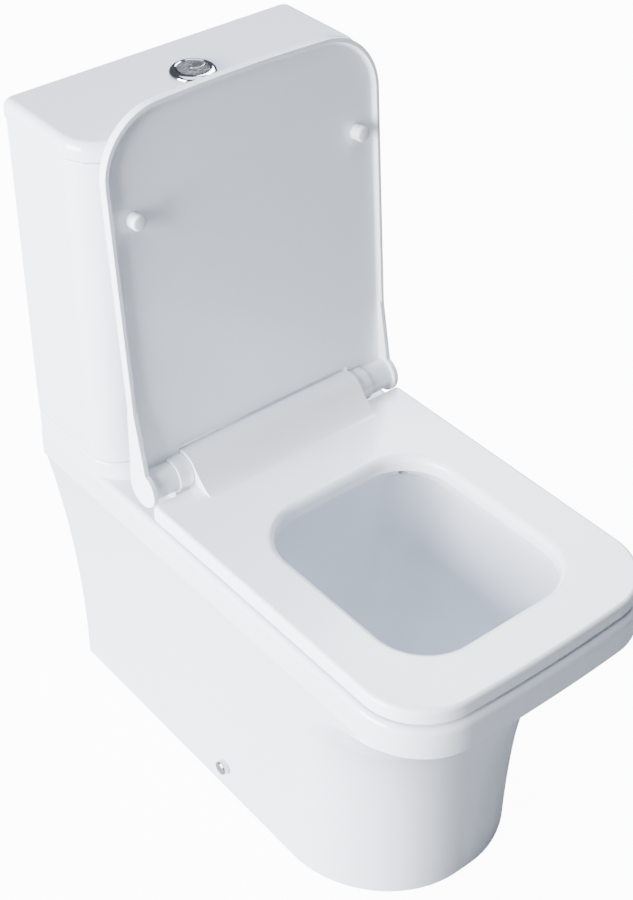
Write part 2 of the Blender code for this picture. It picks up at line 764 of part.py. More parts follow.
def hollow_tool():
    """The space under the pan, less the bowl, trap and water way that cross it."""
    rings = []
    top = RIM_HEIGHT - DECK_THICKNESS
    past_wall = -PAN_WALL
    levels = [(HOLLOW_REAR_TOP * share, past_wall) for share in (-0.01, 0.25, 0.5, 0.75, 1.0)]
    levels += [(HOLLOW_REAR_TOP + GAP, PAN_WALL), (top, PAN_WALL)]
    for z, rear in levels:
        rings.append(at_height(pan_outline(z, PAN_WALL, rear), z))
    hollow = add_tool("hollow", loft(rings))
    side = PAN_WIDTH / 2 - 2 * PAN_WALL
    under_plinth = box((-side, side), (PAN_WALL, PLINTH_DEPTH - PAN_WALL),
                       (top - PAN_WALL, PLINTH_TOP - DECK_THICKNESS))
    join(hollow, add_tool("under_plinth", under_plinth))
    cut(hollow, bowl_wall_tool(), trap_tool(TRAP_WALL, "trap_wall"))
    cut(hollow, outlet_tool(OUTLET_WALL, "outlet_wall"), gasket_wall_tool())
    return cut(hollow, *inlet_tools(WATER_WAY_WALL, "water_wall"))


def gasket_wall_tool():
    wall = upright(GASKET_RADIUS + GASKET_WALL, 0, VALVE_DISTANCE, CHANNEL_BOTTOM, PLINTH_TOP, 28)
    return add_tool("gasket_wall", wall)


def deck_hole_tools():
    tools = []
    bottom = RIM_HEIGHT - 3 * DECK_THICKNESS
    top = CISTERN_BOTTOM + DECK_THICKNESS
    recess = upright(GASKET_RADIUS + GASKET_SIDE_CLEARANCE, 0, VALVE_DISTANCE, RECESS_FLOOR, top, 32)
    tools.append(add_tool("gasket_recess", recess))
    for side, sign in SIDES.items():
        bolt = upright(BOLT_RADIUS + BOLT_HOLE_CLEARANCE, sign * BOLT_OFFSET, VALVE_DISTANCE, bottom,
                       top, 16)
        stud = upright(STUD_RADIUS + STUD_HOLE_CLEARANCE, sign * FIXING_OFFSET, HINGE_DISTANCE, bottom,
                       top, 16)
        tools += [add_tool("bolt_hole_" + side, bolt), add_tool("stud_hole_" + side, stud)]
    supply = upright(FILL_NUT_RADIUS + FILL_DECK_CLEARANCE, FILL_OFFSET, VALVE_DISTANCE, bottom, top, 24)
    tools.append(add_tool("supply_hole", supply))
    return tools


def side_hole_tools():
    tools = []
    y = from_wall(SIDE_FIXING_DISTANCE)
    for side, sign in SIDES.items():
        mesh = rod(SCREW_RADIUS + SCREW_HOLE_CLEARANCE, (sign * BASE_WIDTH / 3, y, SIDE_FIXING_HEIGHT),
                   (sign * PAN_WIDTH / 2, y, SIDE_FIXING_HEIGHT), 16)
        tools.append(add_tool("side_hole_" + side, mesh))
    return tools


def make_pan():
    pan = add_part("pan", pan_shell(), CERAMIC)
    join(pan, plinth_tool())
    cut(pan, hollow_tool(), bowl_tool(), trap_tool(0.0, "trap"), outlet_tool(0.0, "outlet"))
    cut(pan, *inlet_tools(0.0, "water"), *jet_tools(), *deck_hole_tools(), *side_hole_tools())
    return pan


# Cistern

def cistern_outline(z, inset):
    share = (z - CISTERN_BOTTOM) / CISTERN_HEIGHT
    half_width = CISTERN_WIDTH / 2 + CISTERN_TAPER * share - inset
    corner = CISTERN_CORNER - inset
    return outline(half_width, inset, CISTERN_DEPTH - inset, CISTERN_BACK_CORNER, corner)


def make_cistern():
    rings = []
    edge = CISTERN_FOOT_ROUND
    for z, inset in ((CISTERN_BOTTOM, edge), (CISTERN_BOTTOM + edge, 0.0), (CISTERN_TOP, 0.0)):
        rings.append(at_height(cistern_outline(z, inset), z))
    cistern = add_part("cistern", loft(rings), CERAMIC)
    inside = []
    for z in (TANK_FLOOR, CISTERN_TOP + CISTERN_WALL):
        inside.append(at_height(cistern_outline(z, CISTERN_WALL), z))
    cut(cistern, add_tool("tank", loft(inside)))
    low = CISTERN_BOTTOM - CISTERN_FLOOR
    high = TANK_FLOOR + CISTERN_FLOOR
    holes = [upright(TAIL_RADIUS + TAIL_HOLE_CLEARANCE, 0, VALVE_DISTANCE, low, high, 28),
             upright(FILL_TAIL_RADIUS + FILL_HOLE_CLEARANCE, FILL_OFFSET, VALVE_DISTANCE, low, high, 20)]
    for sign in SIDES.values():
        holes.append(upright(BOLT_RADIUS + BOLT_HOLE_CLEARANCE, sign * BOLT_OFFSET, VALVE_DISTANCE,
                             low, high, 16))
    for index, mesh in enumerate(holes):
        cut(cistern, add_tool("cistern_hole_%d" % index, mesh))
    return cistern


def lid_outline(inset):
    return outline(LID_WIDTH / 2 - inset, inset / 3, LID_DEPTH - inset, CISTERN_BACK_CORNER,
                   LID_CORNER - inset)


def make_cistern_lid():
    foot = 0.1 * LID_ROUND
    rings = [at_height(lid_outline(foot), LID_BOTTOM), at_height(lid_outline(0.0), LID_BOTTOM + foot)]
    for degrees in (0, 30, 60, 90):
        turn = math.radians(degrees)
        z = LID_TOP - LID_ROUND * (1 - math.sin(turn))
        rings.append(at_height(lid_outline(LID_ROUND * (1 - math.cos(turn))), z))
    lid = add_part("cistern_lid", loft(rings), CERAMIC)
    lip_inset = CISTERN_WALL + LID_LIP_CLEARANCE
    lip_bottom = LID_BOTTOM - LID_LIP_DEPTH
    lip_levels = (lip_bottom, LID_BOTTOM + LID_HOLLOW / 2)
    hollow_levels = (lip_bottom - LID_LIP_DEPTH, LID_UNDERSIDE)
    lip = [at_height(cistern_outline(CISTERN_TOP, lip_inset), z) for z in lip_levels]
    hollow = [at_height(cistern_outline(CISTERN_TOP, lip_inset + LID_LIP_WALL), z) for z in hollow_levels]
    join(lid, add_tool("lid_lip", loft(lip)))
    cut(lid, add_tool("lid_inside", loft(hollow)))
    hole = upright(SLEEVE_RADIUS + LID_HOLE_CLEARANCE, 0, BUTTON_DISTANCE, lip_bottom,
                   LID_TOP + LID_THICKNESS, 32)
    return cut(lid, add_tool("lid_hole", hole))


# Flush buttons

def make_collar():
    floor_top = SLEEVE_BOTTOM + SLEEVE_FLOOR
    bottom = LID_TOP + GAP
    lip_radius = SLEEVE_BORE + COLLAR_LIP
    crown = []
    for degrees in (0, 30, 60, 90):
        turn = math.radians(degrees)
        radius = lip_radius + (COLLAR_RADIUS - lip_radius) * math.sin(turn)
        crown.append((radius, bottom + (BUTTON_TOP - bottom) * math.cos(turn)))
    profile = [(0.0, floor_top), (SLEEVE_BORE, floor_top), (SLEEVE_BORE, BUTTON_TOP - COLLAR_LIP), *crown,
               (SLEEVE_RADIUS, bottom), (SLEEVE_RADIUS, SLEEVE_BOTTOM), (0.0, SLEEVE_BOTTOM)]
    collar = turned("button_collar", profile, CHROME, 0, BUTTON_DISTANCE, 28)
    for side, sign in SIDES.items():
        hole = upright(PUSH_ROD_RADIUS + RUNNING_GAP, sign * PUSH_ROD_OFFSET, BUTTON_DISTANCE,
                       SLEEVE_BOTTOM - SLEEVE_FLOOR, floor_top + SLEEVE_FLOOR, 10)
        cut(collar, add_tool("rod_hole_" + side, hole))
    top = LID_UNDERSIDE - GAP
    return washer("collar_nut", SLEEVE_RADIUS + COLLAR_NUT_RIM, SLEEVE_RADIUS + GAP, 0, BUTTON_DISTANCE,
                  top - COLLAR_NUT_HEIGHT, top, WHITE_PLASTIC)


def oval(half_length, half_width, x, bottom, top, segments=24):
    mesh = rod(1.0, (0, 0, bottom), (0, 0, top), segments)
    place = Matrix.Translation((x, from_wall(BUTTON_DISTANCE), 0.0))
    mesh.transform(place @ Matrix.Diagonal((half_length, half_width, 1.0, 1.0)))
    return mesh


def make_buttons():
    face = upright(SLEEVE_BORE - RUNNING_GAP, 0, BUTTON_DISTANCE, BUTTON_BOTTOM, BUTTON_TOP, 32)
    full = add_part("full_flush_button", face, CHROME)
    half_face = oval(HALF_BUTTON_LENGTH / 2, HALF_BUTTON_WIDTH / 2, HALF_BUTTON_OFFSET, BUTTON_BOTTOM,
                     BUTTON_TOP + HALF_BUTTON_RISE)
    half = add_part("half_flush_button", half_face, CHROME)
    for name, button, sign in (("full", full, -1), ("half", half, 1)):
        stem = upright(BUTTON_STEM_RADIUS, sign * PUSH_ROD_OFFSET, BUTTON_DISTANCE, STEM_BOTTOM,
                       BUTTON_BOTTOM + BUTTON_THICKNESS / 4, 12)
        join(button, add_tool(name + "_stem", stem))
        bottom = VALVE_HEAD_TOP + BUTTON_TRAVEL + PUSH_ROD_CLEARANCE
        rod_mesh = upright(PUSH_ROD_RADIUS, sign * PUSH_ROD_OFFSET, BUTTON_DISTANCE, bottom,
                           STEM_BOTTOM - GAP, 10)
        add_part(name + "_push_rod", rod_mesh, WHITE_PLASTIC)
        make_button_spring(name, sign)
    window = oval(HALF_BUTTON_LENGTH / 2 + RUNNING_GAP, HALF_BUTTON_WIDTH / 2 + RUNNING_GAP,
                  HALF_BUTTON_OFFSET, BUTTON_BOTTOM - BUTTON_THICKNESS, BUTTON_TOP + BUTTON_THICKNESS)
    cut(full, add_tool("half_window", window))


def make_button_spring(name, sign):
    bottom = SLEEVE_BOTTOM + SLEEVE_FLOOR + SPRING_WIRE + GAP
    top = STEM_BOTTOM - SPRING_WIRE - GAP
    points_per_turn = 8
    count = SPRING_TURNS * points_per_turn
    y = from_wall(BUTTON_DISTANCE)
    points = []
    for step in range(count + 1):
        angle = 2 * math.pi * step / points_per_turn
        points.append((sign * PUSH_ROD_OFFSET + SPRING_RADIUS * math.cos(angle),
                       y + SPRING_RADIUS * math.sin(angle),
                       bottom + (top - bottom) * step / count))
    return add_part(name + "_button_spring", tube(points, SPRING_WIRE, 0), STEEL)


# Flush valve

def make_flush_valve():
    floor = TANK_FLOOR + GAP
    flange_top = floor + VALVE_FLANGE
    sections = [(CISTERN_BOTTOM - TAIL_LENGTH, floor, TAIL_BORE, TAIL_RADIUS),
                (floor, flange_top, TAIL_BORE, TAIL_RADIUS + VALVE_FLANGE_RIM),
                (flange_top, floor + VALVE_SEAT_HEIGHT, TAIL_BORE, TAIL_BORE + VALVE_SEAT_WALL)]
    collar_piece("flush_valve_base", sections, WHITE_PLASTIC, 0, VALVE_DISTANCE)
    nut_top = CISTERN_BOTTOM - GAP
    washer("flush_valve_nut", TAIL_NUT_RADIUS, TAIL_RADIUS + GAP, 0, VALVE_DISTANCE,
           nut_top - TAIL_NUT_HEIGHT, nut_top, WHITE_PLASTIC)
    washer("coupling_gasket", GASKET_RADIUS, TAIL_NUT_RADIUS + GAP, 0, VALVE_DISTANCE,
           RECESS_FLOOR + GAP, nut_top, RUBBER, 20)


def make_valve_basket():
    bore = BASKET_RADIUS - BASKET_WALL
    cap = BASKET_TOP - BASKET_CAP
    sections = [(BASKET_BOTTOM, cap, bore, BASKET_RADIUS),
                (cap, BASKET_TOP, OVERFLOW_RADIUS + RUNNING_GAP, BASKET_RADIUS)]
    basket = collar_piece("flush_valve_basket", sections, BLUE_PLASTIC, 0, VALVE_DISTANCE)
    low = BASKET_BOTTOM + BASKET_WINDOW_SILL
    reach = BASKET_RADIUS + BASKET_WALL
    half = BASKET_WINDOW_WIDTH / 2
    across = box((-reach, reach), (VALVE_DISTANCE - half, VALVE_DISTANCE + half),
                 (low, low + BASKET_WINDOW))
    along = box((-half, half), (VALVE_DISTANCE - reach, VALVE_DISTANCE + reach), (low, low + BASKET_WINDOW))
    return cut(basket, add_tool("basket_across", across), add_tool("basket_along", along))


def make_valve_head():
    cap = VALVE_HEAD_TOP - VALVE_HEAD_WALL
    inner = VALVE_HEAD_RADIUS - VALVE_HEAD_WALL
    profile = [(0.0, VALVE_HEAD_TOP), (VALVE_HEAD_RADIUS, VALVE_HEAD_TOP),
               (VALVE_HEAD_RADIUS, VALVE_HEAD_BOTTOM), (inner, VALVE_HEAD_BOTTOM), (inner, cap), (0.0, cap)]
    return turned("dual_flush_head", profile, WHITE_PLASTIC, 0, VALVE_DISTANCE, 20)


def make_flush_piston():
    seal_bottom = TANK_FLOOR + GAP + VALVE_SEAT_HEIGHT + GAP
    seal_top = seal_bottom + VALVE_SEAL
    disc_bottom = seal_top + GAP
    disc_top = disc_bottom + PISTON_THICKNESS
    sections = [(disc_bottom, disc_top, OVERFLOW_BORE, PISTON_RADIUS),
                (disc_top, OVERFLOW_TOP, OVERFLOW_BORE, OVERFLOW_RADIUS)]
    collar_piece("flush_piston", sections, WHITE_PLASTIC, 0, VALVE_DISTANCE)
    washer("flush_seal", PISTON_RADIUS, OVERFLOW_BORE, 0, VALVE_DISTANCE, seal_bottom, seal_top, RUBBER)


# Fill valve

def make_fill_valve():
    washer_bottom = TANK_FLOOR + GAP
    flange_bottom = washer_bottom + FILL_WASHER + GAP
    washer("fill_valve_washer", FILL_FLANGE_RADIUS, FILL_TAIL_RADIUS + GAP, FILL_OFFSET, VALVE_DISTANCE,
           washer_bottom, washer_bottom + FILL_WASHER, RUBBER)
    tail_bottom = TANK_FLOOR - FILL_TAIL_LENGTH
    flange_top = flange_bottom + FILL_FLANGE
    profile = [(0.0, FILL_HEAD_TOP), (FILL_HEAD_RADIUS, FILL_HEAD_TOP),
               (FILL_HEAD_RADIUS, FILL_HEAD_BOTTOM),
               (FILL_COLUMN_RADIUS, FILL_HEAD_BOTTOM), (FILL_COLUMN_RADIUS, flange_top),
               (FILL_FLANGE_RADIUS, flange_top), (FILL_FLANGE_RADIUS, flange_bottom),
               (FILL_TAIL_RADIUS, flange_bottom), (FILL_TAIL_RADIUS, tail_bottom),
               (FILL_BORE, tail_bottom), (FILL_BORE, FILL_HEAD_BOTTOM), (0.0, FILL_HEAD_BOTTOM)]
    body = turned("fill_valve_body", profile, WHITE_PLASTIC, FILL_OFFSET, VALVE_DISTANCE, 16)
    nut_top = CISTERN_BOTTOM - GAP
    nut = washer("fill_valve_nut", FILL_NUT_RADIUS, FILL_TAIL_RADIUS + GAP, FILL_OFFSET,
                 VALVE_DISTANCE, nut_top - FILL_NUT_HEIGHT, nut_top, WHITE_PLASTIC, 6)
    return body, nut


def make_clevis():
    pivot_x = FILL_OFFSET - ARM_PIVOT_OFFSET
    outer = ARM_WIDTH / 2 + RUNNING_GAP + CLEVIS_WALL
    bottom = FILL_HEAD_TOP + GAP
    top = ARM_PIVOT_HEIGHT + ARM_HEIGHT / 2 + CLEVIS_WALL
    x_range = (pivot_x - CLEVIS_LENGTH / 2, pivot_x + CLEVIS_LENGTH / 2)
    block = box(x_range, (VALVE_DISTANCE - outer, VALVE_DISTANCE + outer), (bottom, top))
    clevis = add_part("arm_clevis", block, WHITE_PLASTIC)
    half = ARM_WIDTH / 2 + RUNNING_GAP
    slot = box((x_range[0] - CLEVIS_LENGTH, x_range[1] + CLEVIS_LENGTH),
               (VALVE_DISTANCE - half, VALVE_DISTANCE + half), (bottom + CLEVIS_FLOOR, top + CLEVIS_FLOOR))
    pin_hole = arm_axle(ARM_PIN_RADIUS + GAP, 2 * outer)
    cut(clevis, add_tool("clevis_slot", slot), add_tool("clevis_hole", pin_hole))
    return add_part("arm_pin", arm_axle(ARM_PIN_RADIUS, outer), STEEL)


def arm_axle(radius, reach):
    """A rod along the float arm's pivot, this far each way from the arm."""
    pivot_x = FILL_OFFSET - ARM_PIVOT_OFFSET
    return rod(radius, (pivot_x, from_wall(VALVE_DISTANCE + reach), ARM_PIVOT_HEIGHT),
               (pivot_x, from_wall(VALVE_DISTANCE - reach), ARM_PIVOT_HEIGHT), 12)


def make_float_arm():
    pivot_x = FILL_OFFSET - ARM_PIVOT_OFFSET
    start = pivot_x - ARM_HEIGHT / 2
    end = FILL_OFFSET + FLOAT_ROD_OFFSET + ARM_OVERHANG
    half = ARM_WIDTH / 2
    low = ARM_PIVOT_HEIGHT - ARM_HEIGHT / 2
    mesh = box((start, end), (VALVE_DISTANCE - half, VALVE_DISTANCE + half), (low, low + ARM_HEIGHT))
    arm = add_part("float_arm", mesh, WHITE_PLASTIC)
    return cut(arm, add_tool("arm_hole", arm_axle(ARM_PIN_RADIUS + RUNNING_GAP, ARM_WIDTH)))


def make_float():
    top = FILL_HEAD_BOTTOM - FLOAT_DROP
    bore = FILL_COLUMN_RADIUS + FLOAT_CLEARANCE
    washer("fill_float", FLOAT_RADIUS, bore, FILL_OFFSET, VALVE_DISTANCE, top - FLOAT_HEIGHT, top,
           BLUE_PLASTIC)
    rod_top = ARM_PIVOT_HEIGHT - ARM_HEIGHT / 2 - FLOAT_ROD_GAP
    link = upright(FLOAT_ROD_RADIUS, FILL_OFFSET + FLOAT_ROD_OFFSET, VALVE_DISTANCE, top + GAP, rod_top, 10)
    return add_part("float_rod", link, WHITE_PLASTIC)


# Close coupling set

def make_coupling_bolts():
    for side, sign in SIDES.items():
        x = sign * BOLT_OFFSET
        seal_bottom = TANK_FLOOR + GAP
        head_bottom = seal_bottom + BOLT_SEAL + GAP
        bore = BOLT_RADIUS + GAP
        washer("bolt_seal_" + side, BOLT_SEAL_RADIUS, bore, x, VALVE_DISTANCE, seal_bottom,
               seal_bottom + BOLT_SEAL, RUBBER, 12)
        bolt = add_part("coupling_bolt_" + side,
                        upright(BOLT_HEAD_RADIUS, x, VALVE_DISTANCE, head_bottom,
                                head_bottom + BOLT_HEAD, 6),
                        STEEL)
        shank = upright(BOLT_RADIUS, x, VALVE_DISTANCE, head_bottom - BOLT_LENGTH,
                        head_bottom + BOLT_HEAD / 2, 16)
        join(bolt, add_tool("bolt_shank_" + side, shank))
        washer_top = PLINTH_TOP - DECK_THICKNESS - GAP
        washer_bottom = washer_top - BOLT_WASHER
        washer("bolt_washer_" + side, BOLT_WASHER_RADIUS, bore, x, VALVE_DISTANCE, washer_bottom,
               washer_top, STEEL, 12)
        make_wing_nut(side, x, washer_bottom - GAP)


def make_wing_nut(side, x, top):
    bore = BOLT_RADIUS + GAP
    mesh = upright(BOLT_RADIUS + WING_NUT_RIM, x, VALVE_DISTANCE, top - WING_NUT_HEIGHT, top, 16)
    nut = add_part("wing_nut_" + side, mesh, BRASS)
    half = WING_THICKNESS / 2
    wings = box((x - WING_LENGTH, x + WING_LENGTH), (VALVE_DISTANCE - half, VALVE_DISTANCE + half),
                (top - WING_NUT_HEIGHT - WING_RISE, top - WING_NUT_HEIGHT / 2))
    hole = upright(bore, x, VALVE_DISTANCE, top - 2 * (WING_NUT_HEIGHT + WING_RISE),
                   top + WING_NUT_HEIGHT, 16)
    join(nut, add_tool("wings_" + side, wings))
    return cut(nut, add_tool("wing_bore_" + side, hole))


# Seat and cover

def hump_profile(grow=0.0):
    """The ridge over the hinge line, seen from the side: a round back, then a run down to the seat."""
    radius = HUMP_RADIUS + grow
    points = []
    for step in range(13):
        turn = math.radians(HUMP_BREAK_DEG + (270 - HUMP_BREAK_DEG) * step / 12)
        points.append((HINGE_DISTANCE + radius * math.cos(turn), HINGE_HEIGHT + radius * math.sin(turn)))
    start = points[0]
    end = (HINGE_DISTANCE + HUMP_RUN + grow, SEAT_TOP + grow)
    slope = math.tan(math.radians(90 - HUMP_BREAK_DEG))
    bend = (start[0] + 0.92 * (start[1] - end[1]) / slope, end[1])
    inside = SEAT_BOTTOM + SEAT_FOOT_ROUND
    points += [(HINGE_DISTANCE + radius, inside), (end[0], inside)]
    for step in range(5):
        t = step / 5
        points.append(tuple((1 - t) ** 2 * low + 2 * t * (1 - t) * middle + t ** 2 * high
                            for low, middle, high in zip(end, bend, start)))
    return points


def seat_outline(inset):
    return outline(SEAT_WIDTH / 2 - inset, SEAT_REAR + inset / 2, SEAT_LENGTH - inset,
                   SEAT_REAR_CORNER, SEAT_CORNER - inset, FRONT_BOW)


def make_seat():
    foot = SEAT_FOOT_ROUND
    rings = [at_height(seat_outline(foot), SEAT_BOTTOM), at_height(seat_outline(0.0), SEAT_BOTTOM + foot)]
    for degrees in (0, 45, 90):
        turn = math.radians(degrees)
        z = SEAT_TOP - SEAT_EDGE_ROUND * (1 - math.sin(turn))
        rings.append(at_height(seat_outline(SEAT_EDGE_ROUND * (1 - math.cos(turn))), z))
    seat = add_part("seat", loft(rings), SEAT_PLASTIC)
    hump = add_tool("hump", bar(hump_profile(), -HUMP_HALF_WIDTH, HUMP_HALF_WIDTH))
    join(seat, hump)
    cut(seat, opening_tool())
    for side, sign in SIDES.items():
        reach = DAMPER_SHAFT_REACH + SHAFT_END_CLEARANCE
        bore = axle(DAMPER_SHAFT + RUNNING_GAP, sign * (HUMP_HALF_WIDTH - reach), sign * POST_OUTER)
        cut(seat, add_tool("seat_bore_" + side, bore))
    return seat


def opening_tool():
    def ring(extra, z):
        points = outline(OPENING_WIDTH / 2 + extra, OPENING_REAR - extra, OPENING_FRONT + extra,
                         OPENING_CORNER + extra, OPENING_CORNER + extra)
        return at_height(points, z)
    foot = SEAT_FOOT_ROUND / 2
    rings = [ring(foot, SEAT_BOTTOM - SEAT_THICKNESS), ring(foot, SEAT_BOTTOM),
             ring(0.0, SEAT_BOTTOM + foot)]
    for degrees in (0, 35, 65, 90):
        turn = math.radians(degrees)
        rings.append(ring(OPENING_ROUND * (1 - math.cos(turn)),
                          SEAT_TOP - OPENING_ROUND * (1 - math.sin(turn))))
    rings.append(ring(OPENING_ROUND, SEAT_TOP + SEAT_THICKNESS))
    return add_tool("opening", loft(rings))


def axle(radius, start_x, end_x, segments=20):
    y = from_wall(HINGE_DISTANCE)
    return rod(radius, (start_x, y, HINGE_HEIGHT), (end_x, y, HINGE_HEIGHT), segments)


def make_seat_buffers():
    bottom = RIM_HEIGHT + GAP
    top = SEAT_BOTTOM - GAP
    ends = {"rear": HINGE_DISTANCE + SEAT_BUFFER_REAR, "front": SEAT_LENGTH - SEAT_BUFFER_FRONT}
    for end, distance in ends.items():
        for side, sign in SIDES.items():
            mesh = upright(SEAT_BUFFER_RADIUS, sign * (SEAT_WIDTH / 2 - SEAT_BUFFER_INSET), distance,
                           bottom, top, 20)
            add_part("seat_buffer_%s_%s" % (end, side), mesh, BUFFER_RUBBER)


def cover_outline(inset, rear):
    return outline(COVER_WIDTH / 2 - inset, rear, COVER_LENGTH - inset, SEAT_REAR_CORNER,
                   COVER_CORNER - inset, FRONT_BOW)


def ear_profile():
    """The side of the cover, seen closed: round the hinge, clear over the seat, then out to the plate."""
    far = HINGE_DISTANCE + EAR_REACH
    flank = math.degrees(math.atan2(COVER_THICKNESS, EAR_REACH))
    drop = HINGE_HEIGHT - SEAT_TOP - COVER_BUFFER_CLEARANCE
    start = 80 - flank
    end = 360 - math.degrees(math.asin(drop / EAR_RADIUS))
    points = []
    for step in range(19):
        turn = math.radians(start + (end - start) * step / 18)
        points.append((HINGE_DISTANCE + EAR_RADIUS * math.cos(turn),
                       HINGE_HEIGHT + EAR_RADIUS * math.sin(turn)))
    return [*points, (far, COVER_BOTTOM + GAP), (far, COVER_TOP - GAP)]


def make_cover():
    rear = HINGE_DISTANCE
    foot = COVER_EDGE_ROUND / 3
    rings = [at_height(cover_outline(foot, rear), COVER_BOTTOM),
             at_height(cover_outline(0.0, rear), COVER_BOTTOM + foot)]
    for degrees in (0, 45, 90):
        turn = math.radians(degrees)
        z = COVER_TOP - COVER_EDGE_ROUND * (1 - math.sin(turn))
        rings.append(at_height(cover_outline(COVER_EDGE_ROUND * (1 - math.cos(turn)), rear), z))
    cover = add_part("cover", loft(rings), SEAT_PLASTIC)
    behind = rear - EAR_RADIUS
    dish = [at_height(cover_outline(1.4 * COVER_RIM, behind), COVER_TOP - COVER_PLATE),
            at_height(cover_outline(COVER_RIM, behind), COVER_BOTTOM - COVER_PLATE)]
    cut(cover, add_tool("dish", loft(dish)))
    clear = COVER_BARREL_INNER
    notch = bar(hump_profile(COVER_HUMP_CLEARANCE), -clear, clear)
    sweep = axle(HUMP_RADIUS + COVER_SWEEP_CLEARANCE, -clear, clear, 32)
    cut(cover, add_tool("cover_notch", notch), add_tool("cover_sweep", sweep))
    for side, sign in SIDES.items():
        edge = sign * COVER_WIDTH / 2
        ear = bar(ear_profile(), edge - sign * EAR_THICKNESS, edge)
        barrel = axle(BARREL_RADIUS, sign * COVER_BARREL_INNER, edge - sign * EAR_THICKNESS / 2)
        join(cover, add_tool("ear_" + side, ear), add_tool("barrel_" + side, barrel))
        shaft_end = POST_OUTER + DAMPER_SHAFT_REACH + SHAFT_END_CLEARANCE
        bore = axle(DAMPER_SHAFT + RUNNING_GAP, sign * POST_INNER, sign * shaft_end)
        cut(cover, add_tool("cover_bore_" + side, bore))
    return cover


def make_cover_buffers():
    buffers = []
    bottom = SEAT_TOP + COVER_BUFFER_CLEARANCE
    top = COVER_TOP - COVER_PLATE - GAP
    for side, sign in SIDES.items():
        mesh = upright(COVER_BUFFER_RADIUS, sign * (COVER_WIDTH / 2 - COVER_BUFFER_INSET),
                       COVER_LENGTH - COVER_BUFFER_FRONT, bottom, top, 20)
        buffers.append(add_part("cover_buffer_" + side, mesh, SEAT_PLASTIC))
    return buffers


def hang_on_hinge(pieces, name, degrees):
    """Parents pieces drawn closed, and their cutters, to an empty on the hinge line, and swings them."""
    pivot = bpy.data.objects.new(name, None)
    PARTS.objects.link(pivot)
    pivot.location = (0.0, from_wall(HINGE_DISTANCE), HINGE_HEIGHT)
    pivot.rotation_euler = (math.radians(-degrees), 0.0, 0.0)
    cutters = [modifier.object for piece in pieces for modifier in piece.modifiers]
    for piece in [*pieces, *cutters]:
        piece.parent = pivot
        piece.location = (0.0, -from_wall(HINGE_DISTANCE), -HINGE_HEIGHT)
    return pivot


# Hinges

def make_hinge_post(side, sign):
    inner = sign * POST_INNER
    outer = sign * POST_OUTER
    post = add_part("hinge_post_" + side, axle(POST_RADIUS, inner, outer, 32), SEAT_PLASTIC)
    plate_bottom = RIM_HEIGHT + GAP
    plate_top = plate_bottom + POST_PLATE
    stem = box(sorted((inner, outer)), (HINGE_DISTANCE - POST_STEM / 2, HINGE_DISTANCE + POST_STEM / 2),
               (plate_bottom, HINGE_HEIGHT))
    reach = sign * (FIXING_OFFSET - FIXING_EDGE)
    half = POST_PLATE_WIDTH / 2
    plate = box(sorted((reach, outer)), (HINGE_DISTANCE - half, HINGE_DISTANCE + half),
                (plate_bottom, plate_top))
    join(post, add_tool("post_stem_" + side, stem), add_tool("post_plate_" + side, plate))
    cavity = axle(DAMPER_RADIUS + GAP, sign * HUMP_HALF_WIDTH, sign * COVER_BARREL_INNER)
    hole = upright(STUD_RADIUS + GAP, sign * FIXING_OFFSET, HINGE_DISTANCE, plate_bottom - POST_PLATE,
                   plate_top + POST_PLATE, 16)
    return cut(post, add_tool("damper_bore_" + side, cavity), add_tool("plate_hole_" + side, hole))


def make_damper(side, sign):
    body = axle(DAMPER_RADIUS, sign * (POST_INNER + DAMPER_END_GAP), sign * (POST_OUTER - DAMPER_END_GAP))
    damper = add_part("hinge_damper_" + side, body, STEEL)
    reach = DAMPER_SHAFT_REACH
    shaft = axle(DAMPER_SHAFT, sign * (POST_INNER - reach), sign * (POST_OUTER + reach))
    return join(damper, add_tool("damper_shaft_" + side, shaft))


def make_hinge_fixing(side, sign):
    x = sign * FIXING_OFFSET
    head_bottom = RIM_HEIGHT + POST_PLATE + 2 * GAP
    head = upright(STUD_HEAD_RADIUS, x, HINGE_DISTANCE, head_bottom, head_bottom + STUD_HEAD, 20)
    stud = add_part("hinge_stud_" + side, head, STEEL)
    shank = upright(STUD_RADIUS, x, HINGE_DISTANCE, head_bottom - STUD_LENGTH,
                    head_bottom + STUD_HEAD / 2, 16)
    join(stud, add_tool("stud_shank_" + side, shank))
    washer_top = RIM_HEIGHT - DECK_THICKNESS - GAP
    bore = STUD_RADIUS + GAP
    washer("hinge_washer_" + side, STUD_WASHER_RADIUS, bore, x, HINGE_DISTANCE, washer_top - STUD_WASHER,
           washer_top, RUBBER, 12)
    nut_top = washer_top - STUD_WASHER - GAP
    washer("hinge_nut_" + side, STUD_RADIUS + STUD_NUT_RIM, bore, x, HINGE_DISTANCE,
           nut_top - STUD_NUT_HEIGHT, nut_top, WHITE_PLASTIC, 6)


# Floor fixings

def side_face(z):
    """How far the pan's side stands from the middle at a height."""
    return max(x for x, _ in pan_outline(z))


def side_rod(radius, start_x, end_x, segments):
    y = from_wall(SIDE_FIXING_DISTANCE)
    return rod(radius, (start_x, y, SIDE_FIXING_HEIGHT), (end_x, y, SIDE_FIXING_HEIGHT), segments)


